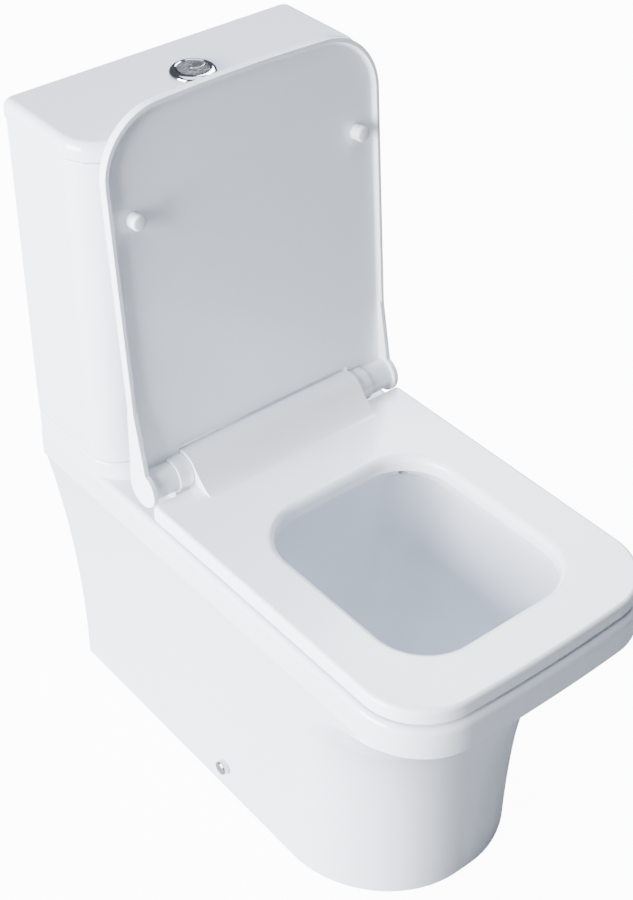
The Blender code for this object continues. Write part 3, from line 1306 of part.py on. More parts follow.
def make_side_fixing(side, sign):
    face = side_face(SIDE_FIXING_HEIGHT + CAP_RADIUS) + GAP
    end = face + CAP_LENGTH
    cap = add_part("side_cap_" + side, side_rod(CAP_RADIUS, sign * face, sign * end, 24), CHROME)
    pocket = side_rod(CAP_RADIUS - CAP_WALL, sign * (face - CAP_WALL), sign * (end - CAP_WALL), 24)
    cut(cap, add_tool("cap_pocket_" + side, pocket))
    head_start = face + GAP
    head = side_rod(SCREW_HEAD_RADIUS, sign * head_start, sign * (head_start + SCREW_HEAD), 16)
    screw = add_part("side_screw_" + side, head, STEEL)
    shank = side_rod(SCREW_RADIUS, sign * (head_start - SCREW_LENGTH),
                     sign * (head_start + SCREW_HEAD / 2), 12)
    join(screw, add_tool("screw_shank_" + side, shank))
    return make_floor_bracket(side, sign)


def make_floor_bracket(side, sign):
    distance = SIDE_FIXING_DISTANCE
    wall_x = side_face(0.0) - PAN_WALL - BRACKET_WALL_GAP
    half = BRACKET_LENGTH / 2
    inner = wall_x - BRACKET_UPRIGHT
    foot = box(sorted((sign * (wall_x - BRACKET_DEPTH), sign * wall_x)), (distance - half, distance + half),
               (0.0, BRACKET_FOOT))
    bracket = add_part("floor_bracket_" + side, foot, WHITE_PLASTIC)
    block = box(sorted((sign * inner, sign * wall_x)), (distance - half / 2, distance + half / 2),
                (BRACKET_FOOT / 2, SIDE_FIXING_HEIGHT + BRACKET_RISE))
    hole = side_rod(SCREW_RADIUS + GAP, sign * (inner - BRACKET_UPRIGHT),
                    sign * (wall_x + BRACKET_UPRIGHT), 12)
    floor_hole = upright(FLOOR_HOLE_RADIUS, sign * (inner + wall_x - BRACKET_DEPTH) / 2, distance,
                         -BRACKET_FOOT, 2 * BRACKET_FOOT, 12)
    join(bracket, add_tool("bracket_block_" + side, block))
    return cut(bracket, add_tool("bracket_hole_" + side, hole), add_tool("floor_hole_" + side, floor_hole))


clear_scene()
PARTS = new_collection("close_coupled_toilet")
CUTTERS = new_collection("cutters")
CERAMIC = finish("glazed_ceramic", (0.86, 0.87, 0.89), 0.08)
SEAT_PLASTIC = finish("seat_duroplast", (0.84, 0.85, 0.87), 0.18)
CHROME = finish("chrome", (0.72, 0.72, 0.72), 0.08, 1.0)
STEEL = finish("zinc_plated_steel", (0.62, 0.62, 0.60), 0.30, 1.0)
BRASS = finish("brass", (0.72, 0.55, 0.26), 0.28, 1.0)
RUBBER = finish("black_rubber", (0.03, 0.03, 0.03), 0.70)
BUFFER_RUBBER = finish("pale_rubber", (0.80, 0.80, 0.80), 0.55)
WHITE_PLASTIC = finish("white_plastic", (0.80, 0.80, 0.78), 0.40)
BLUE_PLASTIC = finish("blue_plastic", (0.16, 0.34, 0.60), 0.40)

make_pan()
make_cistern()
make_cistern_lid()
make_collar()
make_buttons()
make_flush_valve()
make_valve_basket()
make_valve_head()
make_flush_piston()
make_fill_valve()
make_clevis()
make_float_arm()
make_float()
make_coupling_bolts()
seat = make_seat()
make_seat_buffers()
hang_on_hinge([make_cover(), *make_cover_buffers()], "cover_hinge", COVER_OPEN_DEG)
for side_name, side_sign in SIDES.items():
    make_hinge_post(side_name, side_sign)
    make_damper(side_name, side_sign)
    make_hinge_fixing(side_name, side_sign)
    make_side_fixing(side_name, side_sign)
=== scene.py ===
import json
import math

import bmesh
import bpy
from mathutils import Matrix, Vector


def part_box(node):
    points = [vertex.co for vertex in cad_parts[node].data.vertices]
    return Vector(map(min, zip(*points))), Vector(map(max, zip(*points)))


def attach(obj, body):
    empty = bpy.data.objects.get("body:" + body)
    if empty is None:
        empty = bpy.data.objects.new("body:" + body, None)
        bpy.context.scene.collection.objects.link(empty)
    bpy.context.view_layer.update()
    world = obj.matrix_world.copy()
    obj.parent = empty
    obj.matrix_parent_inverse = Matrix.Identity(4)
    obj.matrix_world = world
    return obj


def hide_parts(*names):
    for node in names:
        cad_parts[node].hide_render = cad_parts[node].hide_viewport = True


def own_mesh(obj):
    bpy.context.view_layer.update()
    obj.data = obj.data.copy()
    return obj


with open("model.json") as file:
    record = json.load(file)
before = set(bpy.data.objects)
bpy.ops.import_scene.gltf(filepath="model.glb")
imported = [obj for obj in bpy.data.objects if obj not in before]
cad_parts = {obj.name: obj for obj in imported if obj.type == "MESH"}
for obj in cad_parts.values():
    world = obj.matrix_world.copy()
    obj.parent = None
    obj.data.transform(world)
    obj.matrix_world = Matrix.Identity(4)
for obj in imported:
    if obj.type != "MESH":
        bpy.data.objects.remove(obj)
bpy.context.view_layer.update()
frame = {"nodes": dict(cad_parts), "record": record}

# The pan is one piece of vitreous china, slip cast in a mould and fired under a white glaze.
# Its sides flare up from a narrow foot to a rim band, and a raised step at the back carries the
# cistern. The bowl has an overhanging rim, a sump, a trap behind it and two flush outlets.
SMALL_GAP = 0.0003
pan_low, pan_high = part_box("pan")
WALL_Y = pan_high[1]
PAN_LENGTH = pan_high[1] - pan_low[1]
PAN_WIDTH = pan_high[0] - pan_low[0]
RIM_HEIGHT = 0.391
BAND_BOTTOM = RIM_HEIGHT - 0.040
BAND_STEP = 0.0026
LIP_LOW, LIP_HIGH, LIP_SWELL = 0.314, 0.338, 0.007
LIP_EDGE = 0.002
SIDE_FLARE = 2
FRONT_FLARE = 5
RIM_ROUND = 0.007
RIM_CORNER = 0.076
FRONT_BOW = 0.007
FOOT_LENGTH = PAN_LENGTH - 0.085
FOOT_WIDTH = PAN_WIDTH - 0.076
FOOT_CORNER = 0.130
BACK_CORNER = 0.006
PAN_WALL = 0.012
DECK = 0.013
PLINTH_DEPTH = 0.152
PLINTH_TOP = pan_high[2]
PLINTH_ROUND = 0.004
PLINTH_CORNER = 0.047
BOWL_WIDTH = 0.256
BOWL_REAR = 0.300
BOWL_FRONT = 0.596
BOWL_CORNER = 0.052
BOWL_BOTTOM = RIM_HEIGHT - 0.255
SUMP_WIDTH = 0.078
SUMP_REAR = 0.334
SUMP_FRONT = 0.425
RIM_LIP = 0.021
UNDERCUT = 0.008
BOWL_WALL = 0.011
TRAP_RADIUS = 0.034
TRAP_WALL = 0.009
TRAP_LOW = 0.132
WEIR = 0.246
OUTLET_HEIGHT = 0.180
OUTLET_RADIUS = 0.045
OUTLET_LENGTH = 0.045
OUTLET_WALL = 0.007
WATER_WALL = 0.010
WELL_RADIUS = 0.034
WELL_TOP = 0.397
ABOVE_PLINTH = 0.43
UNDER_DECK = 0.352
CHANNEL_TOP = RIM_HEIGHT - 0.011
CHANNEL_BOTTOM = CHANNEL_TOP - 0.030
GALLERY = 0.276
GALLERY_HALF = 0.113
JET_RADIUS = 0.0045
VALVE_LINE = 0.0735
BOLT_OFFSET = 0.078
BOLT_HOLE = 0.0055
STUD_OFFSET = 0.0776
FILL_OFFSET = 0.125
HINGE_LINE = 0.202
FIXING_LINE = 0.297
FIXING_HEIGHT = 0.040


def from_wall(distance):
    return WALL_Y - distance


def collection(name, shown=True):
    made = bpy.data.collections.new(name)
    bpy.context.scene.collection.children.link(made)
    made.hide_render = not shown
    return made


SHOWN = collection("toilet")
TOOLS = collection("cutters", shown=False)


def outline(half_width, rear, front, rear_corner, front_corner, bow=0.0, steps=18):
    """Points round a rounded rectangle seen from above, with rear and front given from the wall."""
    def corner(x, y, radius, start, count):
        return [(x + radius * math.cos(math.radians(start + 90 * i / count)),
                 y + radius * math.sin(math.radians(start + 90 * i / count))) for i in range(count + 1)]
    rear_y, front_y = from_wall(rear), from_wall(front)
    front_x, rear_x = half_width - front_corner, half_width - rear_corner
    back_steps = max(4, steps // 3) if rear_corner < 0.02 else steps
    side_y = [front_y + front_corner + (rear_y - rear_corner - front_y - front_corner) * i / 8
              for i in range(1, 8)]
    points = corner(front_x, front_y + front_corner, front_corner, -90, steps)
    points += [(half_width, y) for y in side_y]
    points += corner(rear_x, rear_y - rear_corner, rear_corner, 0, back_steps)
    points += corner(-rear_x, rear_y - rear_corner, rear_corner, 90, back_steps)
    points += [(-half_width, y) for y in reversed(side_y)]
    points += corner(-front_x, front_y + front_corner, front_corner, 180, steps)
    points += [(front_x * (i / 6 - 1), front_y) for i in range(1, 12)]
    middle = (rear_y + front_y) / 2
    return [(x, y + bow * max(0.0, (middle - y) / (middle - front_y)) * (x / half_width) ** 2)
            for x, y in points]


def ring_at(points, z):
    return [Vector((x, y, z)) for x, y in points]


def loft(rings):
    """A mesh through rings of the same number of points, lowest first."""
    mesh = bpy.data.meshes.new("loft")
    build = bmesh.new()
    levels = [[build.verts.new(point) for point in ring] for ring in rings]
    count = len(rings[0])
    for low, high in zip(levels, levels[1:]):
        for i in range(count):
            j = (i + 1) % count
            build.faces.new((low[i], low[j], high[j], high[i]))
    build.faces.new(levels[0][::-1])
    build.faces.new(levels[-1])
    bmesh.ops.recalc_face_normals(build, faces=build.faces)
    build.to_mesh(mesh)
    build.free()
    return mesh


def turned(profile, centre, axis=(0, 0, 1), steps=64):
    """A turned mesh: profile is (radius, place along the axis) from one end to the other."""
    turn = Vector(axis).to_track_quat("Z", "Y").to_matrix()
    middle = Vector(centre)
    build = bmesh.new()
    rings = []
    for radius, along in profile:
        if radius < 1e-6:
            rings.append([build.verts.new(middle + turn @ Vector((0, 0, along)))])
            continue
        rings.append([build.verts.new(middle + turn @ Vector((radius * math.cos(math.tau * i / steps),
                                                              radius * math.sin(math.tau * i / steps),
                                                              along))) for i in range(steps)])
    for low, high in zip(rings, rings[1:]):
        if len(low) == 1 and len(high) == 1:
            continue
        for i in range(steps):
            j = (i + 1) % steps
            if len(low) == 1:
                corners = [low[0], high[j], high[i]]
            elif len(high) == 1:
                corners = [low[i], low[j], high[0]]
            else:
                corners = [low[i], low[j], high[j], high[i]]
            build.faces.new(corners)
    if len(rings[0]) > 1 and len(rings[-1]) > 1 and profile[0] == profile[-1]:
        bmesh.ops.remove_doubles(build, verts=build.verts, dist=1e-6)
    elif len(rings[0]) > 1:
        build.faces.new(rings[0][::-1])
        build.faces.new(rings[-1])
    bmesh.ops.recalc_face_normals(build, faces=build.faces)
    mesh = bpy.data.meshes.new("turned")
    build.to_mesh(mesh)
    build.free()
    return mesh


def rod(radius, start, end, steps=48):
    way = Vector(end) - Vector(start)
    return turned([(0, 0), (radius, 0), (radius, way.length), (0, way.length)], start, way, steps)


def upright(radius, x, distance, low, high, steps=48):
    y = from_wall(distance)
    return rod(radius, (x, y, low), (x, y, high), steps)


def block(x_range, distance_range, z_range):
    low_x, high_x = sorted(x_range)
    high_y, low_y = (from_wall(distance) for distance in sorted(distance_range))
    corners = [(low_x, low_y), (high_x, low_y), (high_x, high_y), (low_x, high_y)]
    return loft([ring_at(corners, z) for z in sorted(z_range)])


def new_object(name, mesh, where):
    made = bpy.data.objects.new(name, mesh)
    where.objects.link(made)
    return made


def boolean(target, operation, *meshes):
    """Cuts or joins meshes into target one after another, and keeps the result as its mesh."""
    for mesh in meshes:
        tool = mesh if isinstance(mesh, bpy.types.Object) else new_object("cutter", mesh, TOOLS)
        step = target.modifiers.new(operation.lower(), "BOOLEAN")
        step.operation = operation
        step.solver = "EXACT"
        step.object = tool
        graph = bpy.context.evaluated_depsgraph_get()
        result = bpy.data.meshes.new_from_object(target.evaluated_get(graph))
        target.modifiers.remove(step)
        target.data = result
        bpy.data.objects.remove(tool)
    return target


def smooth(target, degrees=32):
    """Smooth shading with crisp edges, and flat faces kept flat next to rounded ones."""
    target.data.shade_smooth()
    target.data.set_sharp_from_angle(angle=math.radians(degrees))
    weigh = target.modifiers.new("weighted", "WEIGHTED_NORMAL")
    weigh.keep_sharp = True
    return target


def soften(target, width, segments=3, degrees=40):
    """A small rounded edge wherever faces meet at more than the angle."""
    ease = target.modifiers.new("ease", "BEVEL")
    ease.width = width
    ease.segments = segments
    ease.limit_method = "ANGLE"
    ease.angle_limit = math.radians(degrees)
    ease.harden_normals = False
    return target


def route_tube(points, radius, steps=24, cuts=6):
    """A closed tube along a smooth route through points."""
    spots = [Vector(point) for point in points]
    path = []
    padded = [spots[0]] + spots + [spots[-1]]
    for i in range(1, len(padded) - 2):
        a, b, c, d = padded[i - 1:i + 3]
        for k in range(cuts):
            t = k / cuts
            path.append(0.5 * (2 * b + (c - a) * t + (2 * a - 5 * b + 4 * c - d) * t * t
                               + (3 * b - a - 3 * c + d) * t ** 3))
    path.append(spots[-1])
    rings = []
    side = Vector((1, 0, 0))
    for i, point in enumerate(path):
        way = (path[min(i + 1, len(path) - 1)] - path[max(i - 1, 0)]).normalized()
        across = way.cross(side).normalized()
        rings.append([point + radius * (side * math.cos(math.tau * k / steps)
                                        + across * math.sin(math.tau * k / steps)) for k in range(steps)])
    return loft(rings)


def group_socket(group, name, kind, direction, value=None):
    made = group.interface.new_socket(name=name, in_out=direction, socket_type=kind)
    if value is not None:
        made.default_value = value


def relief_group():
    """Fired, moulded or rolled surface: a broad drift of tone, fine speckle, gloss drift and relief."""
    group = bpy.data.node_groups.new("Surface drift", "ShaderNodeTree")
    for name, kind, value in (("Pale", "NodeSocketColor", (0.8, 0.8, 0.8, 1)),
                              ("Deep", "NodeSocketColor", (0.7, 0.7, 0.7, 1)),
                              ("Broad Scale", "NodeSocketFloat", 6.0),
                              ("Fine Scale", "NodeSocketFloat", 300.0),
                              ("Fine Share", "NodeSocketFloat", 0.2),
                              ("Gloss Low", "NodeSocketFloat", 0.08),
                              ("Gloss High", "NodeSocketFloat", 0.14)):
        group_socket(group, name, kind, "INPUT", value)
    group_socket(group, "Colour", "NodeSocketColor", "OUTPUT")
    group_socket(group, "Roughness", "NodeSocketFloat", "OUTPUT")
    group_socket(group, "Height", "NodeSocketFloat", "OUTPUT")
    nodes, links = group.nodes, group.links
    inside = nodes.new("NodeGroupInput")
    outside = nodes.new("NodeGroupOutput")
    place = nodes.new("ShaderNodeTexCoord")
    broad = nodes.new("ShaderNodeTexNoise")
    fine = nodes.new("ShaderNodeTexNoise")
    broad.inputs["Detail"].default_value = 4.0
    fine.inputs["Detail"].default_value = 6.0
    mixed = nodes.new("ShaderNodeMix")
    mixed.data_type = "FLOAT"
    tone = nodes.new("ShaderNodeMapRange")
    tone.inputs["From Min"].default_value = 0.3
    tone.inputs["From Max"].default_value = 0.7
    colour = nodes.new("ShaderNodeMix")
    colour.data_type = "RGBA"
    gloss = nodes.new("ShaderNodeMapRange")
    gloss.inputs["From Min"].default_value = 0.3
    gloss.inputs["From Max"].default_value = 0.7
    links.new(place.outputs["Object"], broad.inputs["Vector"])
    links.new(place.outputs["Object"], fine.inputs["Vector"])
    links.new(inside.outputs["Broad Scale"], broad.inputs["Scale"])
    links.new(inside.outputs["Fine Scale"], fine.inputs["Scale"])
    links.new(inside.outputs["Fine Share"], mixed.inputs["Factor"])
    links.new(broad.outputs["Fac"], mixed.inputs[2])
    links.new(fine.outputs["Fac"], mixed.inputs[3])
    links.new(mixed.outputs[0], tone.inputs["Value"])
    links.new(tone.outputs["Result"], colour.inputs["Factor"])
    links.new(inside.outputs["Pale"], colour.inputs[6])
    links.new(inside.outputs["Deep"], colour.inputs[7])
    links.new(broad.outputs["Fac"], gloss.inputs["Value"])
    links.new(inside.outputs["Gloss Low"], gloss.inputs["To Min"])
    links.new(inside.outputs["Gloss High"], gloss.inputs["To Max"])
    links.new(colour.outputs[2], outside.inputs["Colour"])
    links.new(gloss.outputs["Result"], outside.inputs["Roughness"])
    links.new(mixed.outputs[0], outside.inputs["Height"])
    return group


DRIFT = relief_group()


def finish(name, pale, deep, gloss, broad=6.0, fine=300.0, share=0.2, bump=0.02, depth=0.0002, metal=0.0,
           coat=0.0):
    """A material made from the surface group, with its fixed values on the shader's own sockets."""
    made = bpy.data.materials.new(name)
    made.use_nodes = True
    nodes, links = made.node_tree.nodes, made.node_tree.links
    shader = nodes["Principled BSDF"]
    drift = nodes.new("ShaderNodeGroup")
    drift.node_tree = DRIFT
    drift.inputs["Pale"].default_value = (*pale, 1)
    drift.inputs["Deep"].default_value = (*deep, 1)
    drift.inputs["Broad Scale"].default_value = broad
    drift.inputs["Fine Scale"].default_value = fine
    drift.inputs["Fine Share"].default_value = share
    drift.inputs["Gloss Low"].default_value = gloss[0]
    drift.inputs["Gloss High"].default_value = gloss[1]
    relief = nodes.new("ShaderNodeBump")
    relief.inputs["Strength"].default_value = bump
    relief.inputs["Distance"].default_value = depth
    links.new(drift.outputs["Colour"], shader.inputs["Base Color"])
    links.new(drift.outputs["Roughness"], shader.inputs["Roughness"])
    links.new(drift.outputs["Height"], relief.inputs["Height"])
    links.new(relief.outputs["Normal"], shader.inputs["Normal"])
    shader.inputs["Metallic"].default_value = metal
    shader.inputs["Coat Weight"].default_value = coat
    shader.inputs["Coat Roughness"].default_value = 0.03
    shader.inputs["IOR"].default_value = 1.5
    return made


GLAZE = finish("white glazed china", (0.805, 0.832, 0.885), (0.780, 0.808, 0.866), (0.07, 0.13), broad=5.0,
               fine=160.0, share=0.15, bump=0.03, depth=0.0006, coat=0.35)


def place(made, body, slot_name, material, *nodes):
    """Gives a piece its finish and body, and hides the solids it stands for."""
    made.data.materials.clear()
    made.data.materials.append(material)
    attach(made, body)
    if nodes:
        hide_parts(*nodes)
    return made


def pan_ring(z, inset=0.0, rear=0.0):
    """The outside of the pan at a height: sides on a gentle flare, the front on a sharper one."""
    share = min(1.0, max(0.0, z / BAND_BOTTOM))
    front_share = share ** FRONT_FLARE
    swell = 0.0
    if LIP_LOW < z < LIP_HIGH:
        rise = (z - LIP_LOW) / (LIP_HIGH - LIP_LOW)
        swell = LIP_SWELL * rise * rise * (3 - 2 * rise)
    elif LIP_HIGH <= z < BAND_BOTTOM:
        fall = min(1.0, (z - LIP_HIGH) / LIP_EDGE)
        swell = LIP_SWELL * (1 - fall) - LIP_EDGE * fall
    step = BAND_STEP * share if z < BAND_BOTTOM else 0.0
    half_width = FOOT_WIDTH / 2 + (PAN_WIDTH - FOOT_WIDTH) / 2 * share ** SIDE_FLARE - step - inset
    front = FOOT_LENGTH + (PAN_LENGTH - FOOT_LENGTH) * front_share + swell - step - inset
    corner = FOOT_CORNER + (RIM_CORNER - FOOT_CORNER) * front_share - inset
    return ring_at(outline(half_width, rear, front, BACK_CORNER, max(0.01, corner), FRONT_BOW), z)


def rounded_top(ring, top, radius, rings, steps=8):
    """Adds rings that turn a wall over into a flat top; ring(inset, z) draws one."""
    for i in range(steps + 1):
        turn = math.pi / 2 * i / steps
        rings.append(ring(radius * (1 - math.cos(turn)), top - radius * (1 - math.sin(turn))))
    return rings


shell = [pan_ring(0.0, 0.0015), pan_ring(0.0015)]
shell += [pan_ring(0.30 * i / 24) for i in range(1, 25)]
shell += [pan_ring(0.30 + (BAND_BOTTOM - 0.0010 - 0.30) * i / 44) for i in range(1, 45)]
shell += [pan_ring(BAND_BOTTOM - 0.0002, 0.0012), pan_ring(BAND_BOTTOM + 0.0002, 0.0024),
          pan_ring(BAND_BOTTOM + 0.0009, 0.0006), pan_ring(BAND_BOTTOM + 0.0018, 0.0)]
rounded_top(lambda inset, z: pan_ring(z, inset, inset / 2), RIM_HEIGHT, RIM_ROUND, shell)
pan = new_object("pan_china", loft(shell), SHOWN)


def plinth_ring(inset, z):
    return ring_at(outline(PAN_WIDTH / 2 - SMALL_GAP - inset, SMALL_GAP, PLINTH_DEPTH - inset,
                           BACK_CORNER - inset / 2, PLINTH_CORNER - inset), z)


plinth = [plinth_ring(0.0, RIM_HEIGHT - 0.0105)]
rounded_top(plinth_ring, PLINTH_TOP, PLINTH_ROUND, plinth)
boolean(pan, "UNION", loft(plinth))


def bowl_rings(grow, levels=22):
    """The bowl from its sump up to the rim, grown by the wall's thickness where it is cut from the hollow."""
    rings = []
    lip_low = RIM_HEIGHT - RIM_LIP
    for i in range(levels + 1):
        share = i / levels
        spread = math.sin(math.pi / 2 * share) ** 0.95
        width = SUMP_WIDTH + (BOWL_WIDTH + 2 * UNDERCUT - SUMP_WIDTH) * spread
        rear = SUMP_REAR + (BOWL_REAR - UNDERCUT - SUMP_REAR) * spread
        front = SUMP_FRONT + (BOWL_FRONT + UNDERCUT - SUMP_FRONT) * spread
        corner = min(BOWL_CORNER, 0.95 * width / 2) + grow
        z = BOWL_BOTTOM - grow + (lip_low - UNDERCUT - BOWL_BOTTOM + grow) * share
        rings.append(ring_at(outline(width / 2 + grow, rear - grow, front + grow, corner, corner), z))
    return rings


def mouth_ring(extra, z):
    return ring_at(outline(BOWL_WIDTH / 2 + extra, BOWL_REAR - extra, BOWL_FRONT + extra,
                           BOWL_CORNER + extra, BOWL_CORNER + extra), z)


bowl_wall = bowl_rings(BOWL_WALL)
bowl_wall += [mouth_ring(BOWL_WALL, RIM_HEIGHT - RIM_LIP), mouth_ring(BOWL_WALL, RIM_HEIGHT - RIM_ROUND)]
bowl = bowl_rings(0.0)
bowl[0] = [Vector((point.x * 0.86, point.y * 0.97 + bowl[0][0].y * 0.03, point.z)) for point in bowl[0]]
bowl += [mouth_ring(0.0018, RIM_HEIGHT - RIM_LIP - 0.0012), mouth_ring(0.0, RIM_HEIGHT - RIM_LIP + 0.0010)]
for i in range(7):
    turn = math.pi / 2 * i / 6
    bowl.append(mouth_ring(0.004 * (1 - math.cos(turn)), RIM_HEIGHT - 0.004 * (1 - math.sin(turn))))
bowl.append(mouth_ring(0.004, RIM_HEIGHT + 0.002))

trap_route = [(0, from_wall(distance), z) for distance, z in (
    (0.3829, TRAP_LOW + 0.0272), (0.3323, TRAP_LOW), (0.266, 0.189), (0.198, WEIR), (0.1215, 0.197),
    (0.0654, OUTLET_HEIGHT), (0.038, OUTLET_HEIGHT))]


def outlet(grow):
    return rod(OUTLET_RADIUS + grow, (0, from_wall(OUTLET_LENGTH + grow), OUTLET_HEIGHT),
               (0, from_wall(-0.03), OUTLET_HEIGHT))


def water_way(grow):
    roof = grow / 3
    half = 0.028 + grow
    return [upright(WELL_RADIUS + grow, 0, VALVE_LINE, CHANNEL_BOTTOM - grow, WELL_TOP + (grow or SMALL_GAP)),
            block((-half, half), (VALVE_LINE, GALLERY + grow), (CHANNEL_BOTTOM - grow, CHANNEL_TOP + roof)),
            block((-GALLERY_HALF - grow / 2, GALLERY_HALF + grow / 2),
                  (GALLERY - 0.009 - grow, GALLERY + 0.009 + grow),
                  (CHANNEL_TOP - SMALL_GAP - 0.018 - grow, CHANNEL_TOP - SMALL_GAP + roof))]


hollow_rings = [pan_ring(0.335 * share, PAN_WALL, -PAN_WALL)
                for share in (-0.01, 0.2, 0.4, 0.6, 0.8, 0.9, 1.0)]
hollow_rings += [pan_ring(0.3353, PAN_WALL, PAN_WALL), pan_ring(RIM_HEIGHT - DECK, PAN_WALL, PAN_WALL)]
hollow = new_object("hollow", loft(hollow_rings), TOOLS)
side = PAN_WIDTH / 2 - 2 * PAN_WALL
boolean(hollow, "UNION", block((-side, side), (PAN_WALL, PLINTH_DEPTH - PAN_WALL),
                               (RIM_HEIGHT - DECK - PAN_WALL, PLINTH_TOP - DECK)))
boolean(hollow, "DIFFERENCE", loft(bowl_wall), route_tube(trap_route, TRAP_RADIUS + TRAP_WALL),
        outlet(OUTLET_WALL))
boolean(hollow, "DIFFERENCE", *water_way(WATER_WALL),
        upright(0.0625, 0, VALVE_LINE, 0.388, ABOVE_PLINTH))
boolean(pan, "DIFFERENCE", hollow, loft(bowl), route_tube(trap_route, TRAP_RADIUS), outlet(0.0))
boolean(pan, "DIFFERENCE", *water_way(0.0))
for sign in (-1, 1):
    jet_x = sign * (GALLERY_HALF - 1.2 * JET_RADIUS)
    jet_z = CHANNEL_TOP - 1.2 * JET_RADIUS
    boolean(pan, "DIFFERENCE", rod(JET_RADIUS, (jet_x, from_wall(GALLERY), jet_z),
                                   (jet_x, from_wall(BOWL_REAR + 0.030), jet_z), 28))
    boolean(pan, "DIFFERENCE",
            upright(BOLT_HOLE, sign * BOLT_OFFSET, VALVE_LINE, UNDER_DECK, ABOVE_PLINTH, 24),
            upright(BOLT_HOLE, sign * STUD_OFFSET, HINGE_LINE, UNDER_DECK, ABOVE_PLINTH, 24),
            rod(0.005, (sign * FOOT_WIDTH / 3, from_wall(FIXING_LINE), FIXING_HEIGHT),
                (sign * PAN_WIDTH / 2, from_wall(FIXING_LINE), FIXING_HEIGHT), 24))
boolean(pan, "DIFFERENCE", upright(0.0535, 0, VALVE_LINE, WELL_TOP, ABOVE_PLINTH),
        upright(0.022, FILL_OFFSET, VALVE_LINE, UNDER_DECK, ABOVE_PLINTH))
smooth(pan, 35)
place(pan, "toilet", "glazed_ceramic", GLAZE, "pan")

# Each side of the foot is screwed through the china to a bracket on the floor.
# A chromed cap with a domed end snaps over the washer and hides the screw head.
CHROME = finish("polished chrome", (0.62, 0.63, 0.65), (0.50, 0.51, 0.53), (0.05, 0.14),
                broad=40.0, fine=900.0, share=0.3, bump=0.04, depth=0.0001, metal=1.0)
CAP_RADIUS = 0.009
for name, sign in (("left", -1), ("right", 1)):
    low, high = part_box("side_cap_" + name)
    inner = high[0] if sign < 0 else low[0]
    length = high[0] - low[0]
    profile = [(CAP_RADIUS - 0.0016, 0.0), (CAP_RADIUS - 0.0002, 0.0), (CAP_RADIUS, 0.0004),
               (CAP_RADIUS, length - 0.0020), (CAP_RADIUS - 0.0006, length - 0.0008),
               (CAP_RADIUS - 0.0018, length - 0.0002), (CAP_RADIUS - 0.0030, length),
               (CAP_RADIUS - 0.0042, length - 0.0006), (0.0, length - 0.0009)]
    profile += [(0.0, length - 0.0020), (CAP_RADIUS - 0.0016, length - 0.0020), (CAP_RADIUS - 0.0016, 0.0)]
    half_outer, half_inner = profile[:9], profile[9:]
    cap = new_object("side_cap_cover_" + name,
                     turned(half_outer + half_inner, (inner, from_wall(FIXING_LINE), FIXING_HEIGHT),
                            (sign, 0, 0), 48), SHOWN)
    smooth(cap, 50)
    place(cap, "toilet", "chrome", CHROME, "side_cap_" + name)

# The seat and the cover are compression moulded from white urea resin, thick and hard with a satin gloss.
# The seat is a rounded plate with a wide opening. A ridge across its back covers the hinge line.
RESIN = finish("white moulded resin", (0.925, 0.945, 0.985), (0.905, 0.925, 0.968), (0.16, 0.24), broad=7.0,
               fine=420.0, share=0.3, bump=0.05, depth=0.0003)
HINGE_HEIGHT = 0.4235
SEAT_LOW = RIM_HEIGHT + 0.0035
SEAT_TOP = SEAT_LOW + 0.0195
SEAT_HALF = 0.176
SEAT_LENGTH = 0.640
SEAT_REAR = 0.222
SEAT_CORNER = 0.070
SEAT_ROUND = 0.005
HUMP_RADIUS = 0.0235
HUMP_HALF = 0.1185
OPENING_HALF = 0.115
OPENING_REAR = 0.316
OPENING_FRONT = 0.578
OPENING_CORNER = 0.060
OPENING_ROUND = 0.009


def seat_ring(inset, z):
    return ring_at(outline(SEAT_HALF - inset, SEAT_REAR + inset / 2, SEAT_LENGTH - inset, 0.004,
                           SEAT_CORNER - inset, FRONT_BOW), z)


def opening_ring(extra, z):
    return ring_at(outline(OPENING_HALF + extra, OPENING_REAR - extra, OPENING_FRONT + extra,
                           OPENING_CORNER + extra, OPENING_CORNER + extra), z)


def bar(profile, start_x, end_x):
    """A straight bar across the seat, from a side profile of (distance, height)."""
    rings = [[Vector((x, from_wall(distance), z)) for distance, z in profile]
             for x in sorted((start_x, end_x))]
    return loft(rings)


def hump_profile(grow=0.0, steps=30):
    radius = HUMP_RADIUS + grow
    points = [(HINGE_LINE + radius * math.cos(math.radians(42 + 228 * i / steps)),
               HINGE_HEIGHT + radius * math.sin(math.radians(42 + 228 * i / steps)))
              for i in range(steps + 1)]
    start, end = points[0], (HINGE_LINE + 0.050 + grow, SEAT_TOP + grow)
    bend = (start[0] + 0.92 * (start[1] - end[1]) / math.tan(math.radians(48)), end[1])
    points += [(HINGE_LINE + radius, SEAT_LOW + 0.002), (end[0], SEAT_LOW + 0.002)]
    for i in range(12):
        t = i / 12
        points.append(tuple((1 - t) ** 2 * a + 2 * t * (1 - t) * b + t * t * c
                            for a, b, c in zip(end, bend, start)))
    return points


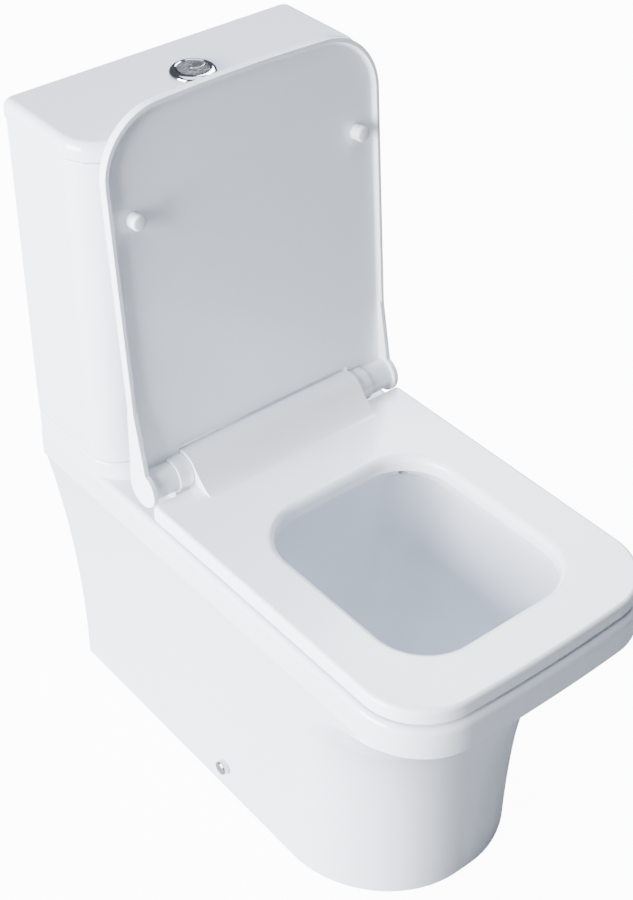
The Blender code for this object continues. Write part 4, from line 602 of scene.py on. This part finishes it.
rings = [seat_ring(0.002, SEAT_LOW), seat_ring(0.0008, SEAT_LOW + 0.0006), seat_ring(0.0, SEAT_LOW + 0.002)]
rounded_top(seat_ring, SEAT_TOP, SEAT_ROUND, rings)
seat = new_object("seat_ring", loft(rings), SHOWN)
boolean(seat, "UNION", bar(hump_profile(), -HUMP_HALF, HUMP_HALF))
rings = [opening_ring(0.001, SEAT_LOW - 0.01), opening_ring(0.001, SEAT_LOW),
         opening_ring(0.0, SEAT_LOW + 0.001)]
for i in range(10):
    turn = math.pi / 2 * i / 9
    rings.append(opening_ring(OPENING_ROUND * (1 - math.cos(turn)),
                              SEAT_TOP - OPENING_ROUND * (1 - math.sin(turn))))
rings.append(opening_ring(OPENING_ROUND, SEAT_TOP + 0.01))
boolean(seat, "DIFFERENCE", loft(rings))
for sign in (-1, 1):
    boolean(seat, "DIFFERENCE", rod(0.0061, (sign * (HUMP_HALF - 0.023), from_wall(HINGE_LINE), HINGE_HEIGHT),
                                    (sign * 0.138, from_wall(HINGE_LINE), HINGE_HEIGHT), 32))
smooth(seat, 30)
place(seat, "seat", "seat_duroplast", RESIN, "seat")

# Two hinge posts stand on the pan behind the seat, moulded in the same resin as the seat.
# Each holds a damper between the ridge of the seat and the barrel of the cover.
POST_RADIUS = 0.020
POST_INNER = 0.1193
POST_OUTER = 0.1373
for name, sign in (("left", -1), ("right", 1)):
    ease = 0.0012
    width = POST_OUTER - POST_INNER
    ring = [(0.0133, 0.0), (POST_RADIUS - ease, 0.0)]
    ring += [(POST_RADIUS - ease * (1 - math.sin(a)), ease * (1 - math.cos(a)))
             for a in (0.4, 0.8, 1.2, 1.5708)]
    ring += [(POST_RADIUS - ease * (1 - math.cos(a)), width - ease * (1 - math.sin(a)))
             for a in (0.0, 0.4, 0.8, 1.2, 1.5708)]
    ring += [(0.0133, width), (0.0133, 0.0)]
    post = new_object("hinge_ring_" + name, turned(
        ring, (sign * POST_INNER, from_wall(HINGE_LINE), HINGE_HEIGHT), (sign, 0, 0), 72), SHOWN)
    stem = block((sign * (POST_INNER + 0.0006), sign * (POST_OUTER - 0.0006)),
                 (HINGE_LINE - 0.008, HINGE_LINE + 0.008),
                 (RIM_HEIGHT + SMALL_GAP, HINGE_HEIGHT - 0.0145))
    foot = block((sign * 0.0656, sign * POST_OUTER), (HINGE_LINE - 0.015, HINGE_LINE + 0.015),
                 (RIM_HEIGHT + SMALL_GAP, RIM_HEIGHT + SMALL_GAP + 0.004))
    boolean(post, "UNION", stem, foot)
    boolean(post, "DIFFERENCE", upright(0.0038, sign * STUD_OFFSET, HINGE_LINE, 0.385, 0.40, 24))
    smooth(post, 40)
    place(post, "toilet", "seat_duroplast", RESIN, "hinge_post_" + name)

# The cover is a thin tray in the same resin, hung behind the seat on the same hinge line.
# A low rim runs round its edge, and its two ears taper down round the hinge to the barrels.
COVER_HALF = 0.175
COVER_LENGTH = 0.629
COVER_CORNER = 0.068
COVER_LOW = HINGE_HEIGHT
COVER_TOP = COVER_LOW + 0.012
COVER_OPEN = math.radians(95.5)
EAR_RADIUS = 0.022
BARREL_RADIUS = 0.0175
BARREL_START = 0.1381
SWING = (Matrix.Translation((0, from_wall(HINGE_LINE), HINGE_HEIGHT)) @ Matrix.Rotation(-COVER_OPEN, 4, "X")
         @ Matrix.Translation((0, -from_wall(HINGE_LINE), -HINGE_HEIGHT)))


def cover_ring(inset, z, rear=HINGE_LINE):
    return ring_at(outline(COVER_HALF - inset, rear, COVER_LENGTH - inset, 0.004, COVER_CORNER - inset,
                           FRONT_BOW), z)


rings = [cover_ring(0.0012, COVER_LOW), cover_ring(0.0004, COVER_LOW + 0.0003),
         cover_ring(0.0, COVER_LOW + 0.001)]
rounded_top(cover_ring, COVER_TOP, 0.003, rings, 6)
cover = new_object("cover_tray", loft(rings), SHOWN)
plate_low = COVER_TOP - 0.007
dish = []
for i in range(9):
    turn = math.pi / 2 * i / 8
    dish.append(cover_ring(0.0090 - 0.0045 * math.sin(turn),
                           plate_low - 0.0045 * (1 - math.cos(turn)), 0.180))
dish.append(cover_ring(0.0040, COVER_LOW - 0.002, 0.180))
boolean(cover, "DIFFERENCE", loft(dish[::-1]))
HUMP_END = 0.1190
boolean(cover, "DIFFERENCE", bar(hump_profile(0.0006), -HUMP_END, HUMP_END),
        rod(HUMP_RADIUS + 0.0008, (-HUMP_END, from_wall(HINGE_LINE), HINGE_HEIGHT),
            (HUMP_END, from_wall(HINGE_LINE), HINGE_HEIGHT), 72),
        rod(POST_RADIUS + 0.0010, (-BARREL_START, from_wall(HINGE_LINE), HINGE_HEIGHT),
            (BARREL_START, from_wall(HINGE_LINE), HINGE_HEIGHT), 72))
ear_far = HINGE_LINE + 0.095
flank = math.degrees(math.atan2(0.012, 0.095))
ear_end = 360 - math.degrees(math.asin((HINGE_HEIGHT - SEAT_TOP - 0.001) / EAR_RADIUS))
ear = [(HINGE_LINE + EAR_RADIUS * math.cos(math.radians(80 - flank + (ear_end - 80 + flank) * i / 44)),
        HINGE_HEIGHT + EAR_RADIUS * math.sin(math.radians(80 - flank + (ear_end - 80 + flank) * i / 44)))
       for i in range(45)]
ear += [(ear_far, COVER_LOW + SMALL_GAP), (ear_far, COVER_TOP - SMALL_GAP)]
for sign in (-1, 1):
    edge = sign * COVER_HALF
    side_ear = new_object("ear", bar(ear, edge - sign * 0.0065, edge - sign * 0.00005), TOOLS)
    soften(side_ear, 0.0009, 3, 50)
    boolean(cover, "UNION", side_ear,
            rod(BARREL_RADIUS, (sign * BARREL_START, from_wall(HINGE_LINE), HINGE_HEIGHT),
                (edge - sign * 0.003, from_wall(HINGE_LINE), HINGE_HEIGHT), 72))
    boolean(cover, "DIFFERENCE", rod(0.0061, (sign * POST_INNER, from_wall(HINGE_LINE), HINGE_HEIGHT),
                                     (sign * 0.1603, from_wall(HINGE_LINE), HINGE_HEIGHT), 32))
cover.data.transform(SWING)
smooth(cover, 30)
place(cover, "cover", "seat_duroplast", RESIN, "cover")

# Four rubber-like buffers under the seat and two bumpers inside the cover stop resin meeting china.
# The bumpers are short domed studs pressed into the cover, moulded in the cover's own white.
SOFT_WHITE = finish("soft white buffer", (0.74, 0.74, 0.73), (0.68, 0.68, 0.67), (0.45, 0.6),
                    broad=30.0, fine=700.0, share=0.5, bump=0.2, depth=0.0003)
for name, sign in (("left", -1), ("right", 1)):
    x, y = sign * 0.145, from_wall(COVER_LENGTH - 0.117)
    top, low = plate_low - SMALL_GAP, SEAT_TOP + 0.001
    dome = [(0.0, top), (0.0085, top), (0.0085, low + 0.0030), (0.0082, low + 0.0017), (0.0074, low + 0.0008),
            (0.0060, low + 0.0002), (0.0, low)]
    bumper = new_object("cover_bumper_" + name, turned(dome[::-1], (x, y, 0), (0, 0, 1), 48),
                        SHOWN)
    bumper.data.transform(SWING)
    smooth(bumper, 40)
    place(bumper, "cover", "seat_duroplast", RESIN, "cover_buffer_" + name)
    for end in ("rear", "front"):
        node = "seat_buffer_%s_%s" % (end, name)
        low_corner, high_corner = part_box(node)
        middle = [(a + b) / 2 for a, b in zip(low_corner, high_corner)]
        height = high_corner[2] - low_corner[2]
        pad = [(0.0, 0.0), (0.0078, 0.0), (0.0088, 0.0004), (0.009, 0.0010), (0.009, height), (0.0, height)]
        buffer = new_object("buffer_%s_%s" % (end, name),
                            turned(pad, (middle[0], middle[1], low_corner[2])), SHOWN)
        smooth(buffer, 40)
        place(buffer, "seat", "pale_rubber", SOFT_WHITE, node)

# The cistern is a slip cast china tank with a flat back, standing on the pan on a rubber gasket.
# Two bolts pull it down. Its front corners are broadly rounded, and it widens slightly upwards.
CISTERN_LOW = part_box("cistern")[0][2]
CISTERN_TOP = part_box("cistern")[1][2]
CISTERN_DEPTH = 0.147
CISTERN_HALF = 0.180
CISTERN_CORNER = 0.042
TANK_WALL = 0.009
TANK_FLOOR = CISTERN_LOW + 0.012


def cistern_ring(inset, z):
    share = (z - CISTERN_LOW) / (CISTERN_TOP - CISTERN_LOW)
    return ring_at(outline(CISTERN_HALF + 0.0035 * share - inset, inset, CISTERN_DEPTH - inset, BACK_CORNER,
                           CISTERN_CORNER - inset), z)


rings = []
for i in range(7):
    turn = math.pi / 2 * i / 6
    rings.append(cistern_ring(0.003 * (1 - math.sin(turn)), CISTERN_LOW + 0.003 * (1 - math.cos(turn))))
rings += [cistern_ring(0.0, TANK_FLOOR), cistern_ring(0.0, CISTERN_TOP - 0.0016),
          cistern_ring(0.0004, CISTERN_TOP - 0.0006), cistern_ring(0.0016, CISTERN_TOP)]
cistern = new_object("cistern_china", loft(rings), SHOWN)
boolean(cistern, "DIFFERENCE",
        loft([cistern_ring(TANK_WALL, TANK_FLOOR), cistern_ring(TANK_WALL, CISTERN_TOP + 0.002)]),
        upright(0.033, 0, VALVE_LINE, CISTERN_LOW - 0.01, TANK_FLOOR + 0.01),
        upright(0.012, FILL_OFFSET, VALVE_LINE, CISTERN_LOW - 0.01, TANK_FLOOR + 0.01),
        upright(BOLT_HOLE, BOLT_OFFSET, VALVE_LINE, CISTERN_LOW - 0.01, TANK_FLOOR + 0.01, 24),
        upright(BOLT_HOLE, -BOLT_OFFSET, VALVE_LINE, CISTERN_LOW - 0.01, TANK_FLOOR + 0.01, 24))
smooth(cistern, 35)
place(cistern, "toilet", "glazed_ceramic", GLAZE, "cistern")

# The lid is a separate glazed casting that drops over the cistern and stays by its weight.
# A lip under it keeps it in place, and a hole in its middle takes the flush button.
LID_LOW, LID_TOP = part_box("cistern_lid")[0][2] + 0.010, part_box("cistern_lid")[1][2]
LID_HALF = 0.1855
LID_DEPTH = 0.1485
LID_CORNER = 0.045
BUTTON_LINE = 0.075


def lid_ring(inset, z):
    return ring_at(outline(LID_HALF - inset, inset / 3, LID_DEPTH - inset, BACK_CORNER,
                           LID_CORNER - inset), z)


rings = [lid_ring(0.0020, LID_LOW), lid_ring(0.0006, LID_LOW + 0.0005), lid_ring(0.0, LID_LOW + 0.0016)]
rounded_top(lid_ring, LID_TOP, 0.009, rings, 12)
lid = new_object("cistern_cover", loft(rings), SHOWN)
boolean(lid, "UNION", loft([cistern_ring(0.011, LID_LOW - 0.010), cistern_ring(0.011, LID_LOW + 0.003)]))
boolean(lid, "DIFFERENCE", loft([cistern_ring(0.015, LID_LOW - 0.020), cistern_ring(0.015, LID_LOW + 0.006)]),
        upright(0.020, 0, BUTTON_LINE, LID_LOW - 0.01, LID_TOP + 0.01, 64))
smooth(lid, 35)
place(lid, "cistern_lid", "glazed_ceramic", GLAZE, "cistern_lid")

# The flush button sits in a chromed collar clamped through the lid by a nut below.
# A crescent gives the full flush, an oval set into it the half flush, each on its own spring.
BRUSHED = finish("satin chrome", (0.58, 0.59, 0.61), (0.46, 0.47, 0.49), (0.16, 0.28),
                 broad=60.0, fine=1200.0, share=0.5, bump=0.06, depth=0.0001, metal=1.0)
BUTTON_TOP = LID_TOP + 0.0055
BORE = 0.0178
ROD_OFFSET = 0.0085
SLEEVE = 0.019
COLLAR = 0.0255
SLEEVE_LOW = LID_TOP - 0.045
crown = [(BORE + 0.0012 + (COLLAR - BORE - 0.0012) * math.sin(math.pi / 2 * i / 12),
          LID_TOP + SMALL_GAP + (BUTTON_TOP - LID_TOP - SMALL_GAP) * math.cos(math.pi / 2 * i / 12))
         for i in range(13)]
profile = [(0.0, SLEEVE_LOW + 0.003), (BORE, SLEEVE_LOW + 0.003), (BORE, BUTTON_TOP - 0.0012),
           (BORE + 0.0003, BUTTON_TOP - 0.0005), *crown, (SLEEVE, LID_TOP + SMALL_GAP), (SLEEVE, SLEEVE_LOW),
           (0.0, SLEEVE_LOW)]
collar = new_object("button_ring", turned(profile, (0, from_wall(BUTTON_LINE), 0), (0, 0, 1), 96), SHOWN)
for sign in (-1, 1):
    boolean(collar, "DIFFERENCE", upright(0.0022, sign * ROD_OFFSET, BUTTON_LINE,
                                          SLEEVE_LOW - 0.003, SLEEVE_LOW + 0.006, 20))
smooth(collar, 30)
place(collar, "cistern_lid", "chrome", CHROME, "button_collar")


def oval(half_length, half_width, x, low, high, steps=64):
    """The half flush button's face: an oval that lies across the round face."""
    points = []
    for i in range(steps):
        angle = math.tau * i / steps
        points.append((x + half_length * math.cos(angle),
                       from_wall(BUTTON_LINE) + half_width * math.sin(angle)))
    return loft([ring_at(points, low), ring_at(points, high)])


BUTTON_LOW = BUTTON_TOP - 0.0045
full = new_object("full_flush_face",
                  upright(BORE - 0.0006, 0, BUTTON_LINE, BUTTON_LOW, BUTTON_TOP, 96), SHOWN)
half = new_object("half_flush_face", oval(0.0092, 0.0052, 0.0058, BUTTON_LOW, BUTTON_TOP + 0.0008), SHOWN)
boolean(full, "DIFFERENCE", oval(0.0098, 0.0058, 0.0058, BUTTON_LOW - 0.01, BUTTON_TOP + 0.01))
for button, body, node, sign in ((full, "full_flush", "full_flush_button", -1),
                                 (half, "half_flush", "half_flush_button", 1)):
    soften(button, 0.0006, 3, 40)
    boolean(button, "UNION", upright(0.0034, sign * ROD_OFFSET, BUTTON_LINE,
                                     BUTTON_LOW - 0.012, BUTTON_LOW + 0.001, 24))
    smooth(button, 50)
    place(button, body, "chrome", BRUSHED, node)

# Below the lid the working parts are plain mouldings, turned brass and plated steel.
# Their solids keep their shapes, and each takes its own finish here.
MOULDED = finish("white moulded valve plastic", (0.80, 0.80, 0.79), (0.74, 0.74, 0.73), (0.32, 0.45),
                 broad=14.0, fine=500.0, share=0.4, bump=0.12, depth=0.0003)
BLUE = finish("blue moulded plastic", (0.045, 0.16, 0.50), (0.03, 0.12, 0.42), (0.28, 0.42), broad=14.0,
              fine=500.0, share=0.4, bump=0.12, depth=0.0003)
ZINC = finish("zinc plated steel", (0.58, 0.58, 0.56), (0.42, 0.43, 0.44), (0.26, 0.45),
              broad=60.0, fine=800.0, share=0.5, bump=0.15, depth=0.0002, metal=1.0)
BRASS = finish("turned brass", (0.72, 0.55, 0.26), (0.60, 0.43, 0.19), (0.22, 0.38), broad=50.0, fine=900.0,
               share=0.5, bump=0.12, depth=0.0002, metal=1.0)
BLACK_RUBBER = finish("black rubber", (0.035, 0.035, 0.036), (0.022, 0.022, 0.023), (0.6, 0.8), broad=40.0,
                      fine=900.0, share=0.6, bump=0.3, depth=0.0004)
FINISHES = {"glazed_ceramic": GLAZE, "seat_duroplast": RESIN, "chrome": CHROME, "zinc_plated_steel": ZINC,
            "brass": BRASS, "black_rubber": BLACK_RUBBER, "pale_rubber": SOFT_WHITE, "white_plastic": MOULDED,
            "blue_plastic": BLUE}
SLOTS = {row["node"]: row["material_slot"] for row in frame["record"]["subparts"]}
for node, made in frame["nodes"].items():
    for index in range(len(made.material_slots)):
        made.material_slots[index].material = FINISHES[SLOTS[node]]

# Two steel coil springs sit in the collar's sleeve, one under each button's stem.
# Each gets a mesh of its own; its length above the foot and its middle are worked out but not used.
SPRING_FOOT = 0.7681
for button in ("full", "half"):
    spring = frame["nodes"][button + "_button_spring"]
    points = [spring.matrix_world @ corner.co for corner in spring.data.vertices]
    length = max(point.z for point in points) - SPRING_FOOT
    middle = sum(points, Vector()) / len(points)
    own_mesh(spring)

# A studio sweep of white paper and large soft lamps stand round the toilet.
# The strongest lamp is low on the left, with weaker ones overhead and behind and a dim one in front.
PAPER_GLOW = 12.0
PAPER_HALF = 8
PAPER_DROP = 0.0004
PAPER = bpy.data.materials.new("white paper sweep")
PAPER.use_nodes = True
paper_nodes, paper_links = PAPER.node_tree.nodes, PAPER.node_tree.links
paper = paper_nodes["Principled BSDF"]
paper.inputs["Base Color"].default_value = (0.31, 0.32, 0.34, 1)
paper.inputs["Roughness"].default_value = 0.9
rays = paper_nodes.new("ShaderNodeLightPath")
glow = paper_nodes.new("ShaderNodeMath")
glow.operation = "MULTIPLY"
glow.inputs[1].default_value = PAPER_GLOW
paper_links.new(rays.outputs["Is Camera Ray"], glow.inputs[0])
paper.inputs["Emission Color"].default_value = (1.0, 1.0, 1.0, 1)
paper_links.new(glow.outputs["Value"], paper.inputs["Emission Strength"])
floor_mesh = bpy.data.meshes.new("paper")
floor_mesh.from_pydata([(-PAPER_HALF, -PAPER_HALF, 0), (PAPER_HALF, -PAPER_HALF, 0),
                        (PAPER_HALF, PAPER_HALF, 0), (-PAPER_HALF, PAPER_HALF, 0)], [], [(0, 1, 2, 3)])
floor_mesh.materials.append(PAPER)
floor = new_object("paper_floor", floor_mesh, bpy.context.scene.collection)
floor.location.z = -PAPER_DROP

sky = bpy.data.worlds.new("studio air")
bpy.context.scene.world = sky
sky.use_nodes = True
sky_shader = sky.node_tree.nodes["Background"]
sky_shader.inputs["Color"].default_value = (0.84, 0.90, 1.0, 1)
sky_shader.inputs["Strength"].default_value = 0.16


def lamp(name, place_at, look_at, size, power, colour):
    made = bpy.data.lights.new(name, "AREA")
    made.shape = "RECTANGLE"
    made.size, made.size_y = size
    made.energy = power
    made.color = colour
    holder = bpy.data.objects.new(name, made)
    bpy.context.scene.collection.objects.link(holder)
    holder.location = place_at
    holder.rotation_euler = (Vector(look_at) - Vector(place_at)).to_track_quat("-Z", "Y").to_euler()


lamp("left window", (-3.2, 0.25, 1.0), (0, -0.05, 0.4), (2.2, 2.4), 820, (0.93, 0.965, 1.0))
lamp("top box", (-0.3, 0.2, 3.2), (0, 0, 0.3), (2.2, 2.2), 70, (0.80, 0.885, 1.0))
lamp("back box", (2.5, 1.5, 3.0), (0, -0.1, 0.4), (2.0, 2.0), 230, (0.90, 0.94, 1.0))
lamp("front fill", (2.2, -2.8, 1.4), (0, 0, 0.4), (2.4, 1.8), 2, (0.88, 0.93, 1.0))

camera_data = bpy.data.cameras.new("camera")
camera_data.lens = 68.28
camera_data.sensor_width = 36.0
camera_data.sensor_fit = "AUTO"
camera_data.shift_x = 0.0848
camera_data.shift_y = 0.0043
camera_data.clip_start = 0.05
camera = bpy.data.objects.new("camera", camera_data)
bpy.context.scene.collection.objects.link(camera)
azimuth, elevation, roll = math.radians(-37.37), math.radians(38.78), math.radians(-0.65)
back = Vector((math.sin(azimuth) * math.cos(elevation), -math.cos(azimuth) * math.cos(elevation),
               math.sin(elevation)))
right = Vector((math.cos(azimuth), math.sin(azimuth), 0))
up = back.cross(right)
level_right = right * math.cos(roll) + up * math.sin(roll)
level_up = up * math.cos(roll) - right * math.sin(roll)
camera.matrix_world = Matrix.Translation((-0.9458, -1.0628, 1.6031)) @ Matrix(
    (level_right, level_up, back)).transposed().to_4x4()
bpy.context.scene.camera = camera
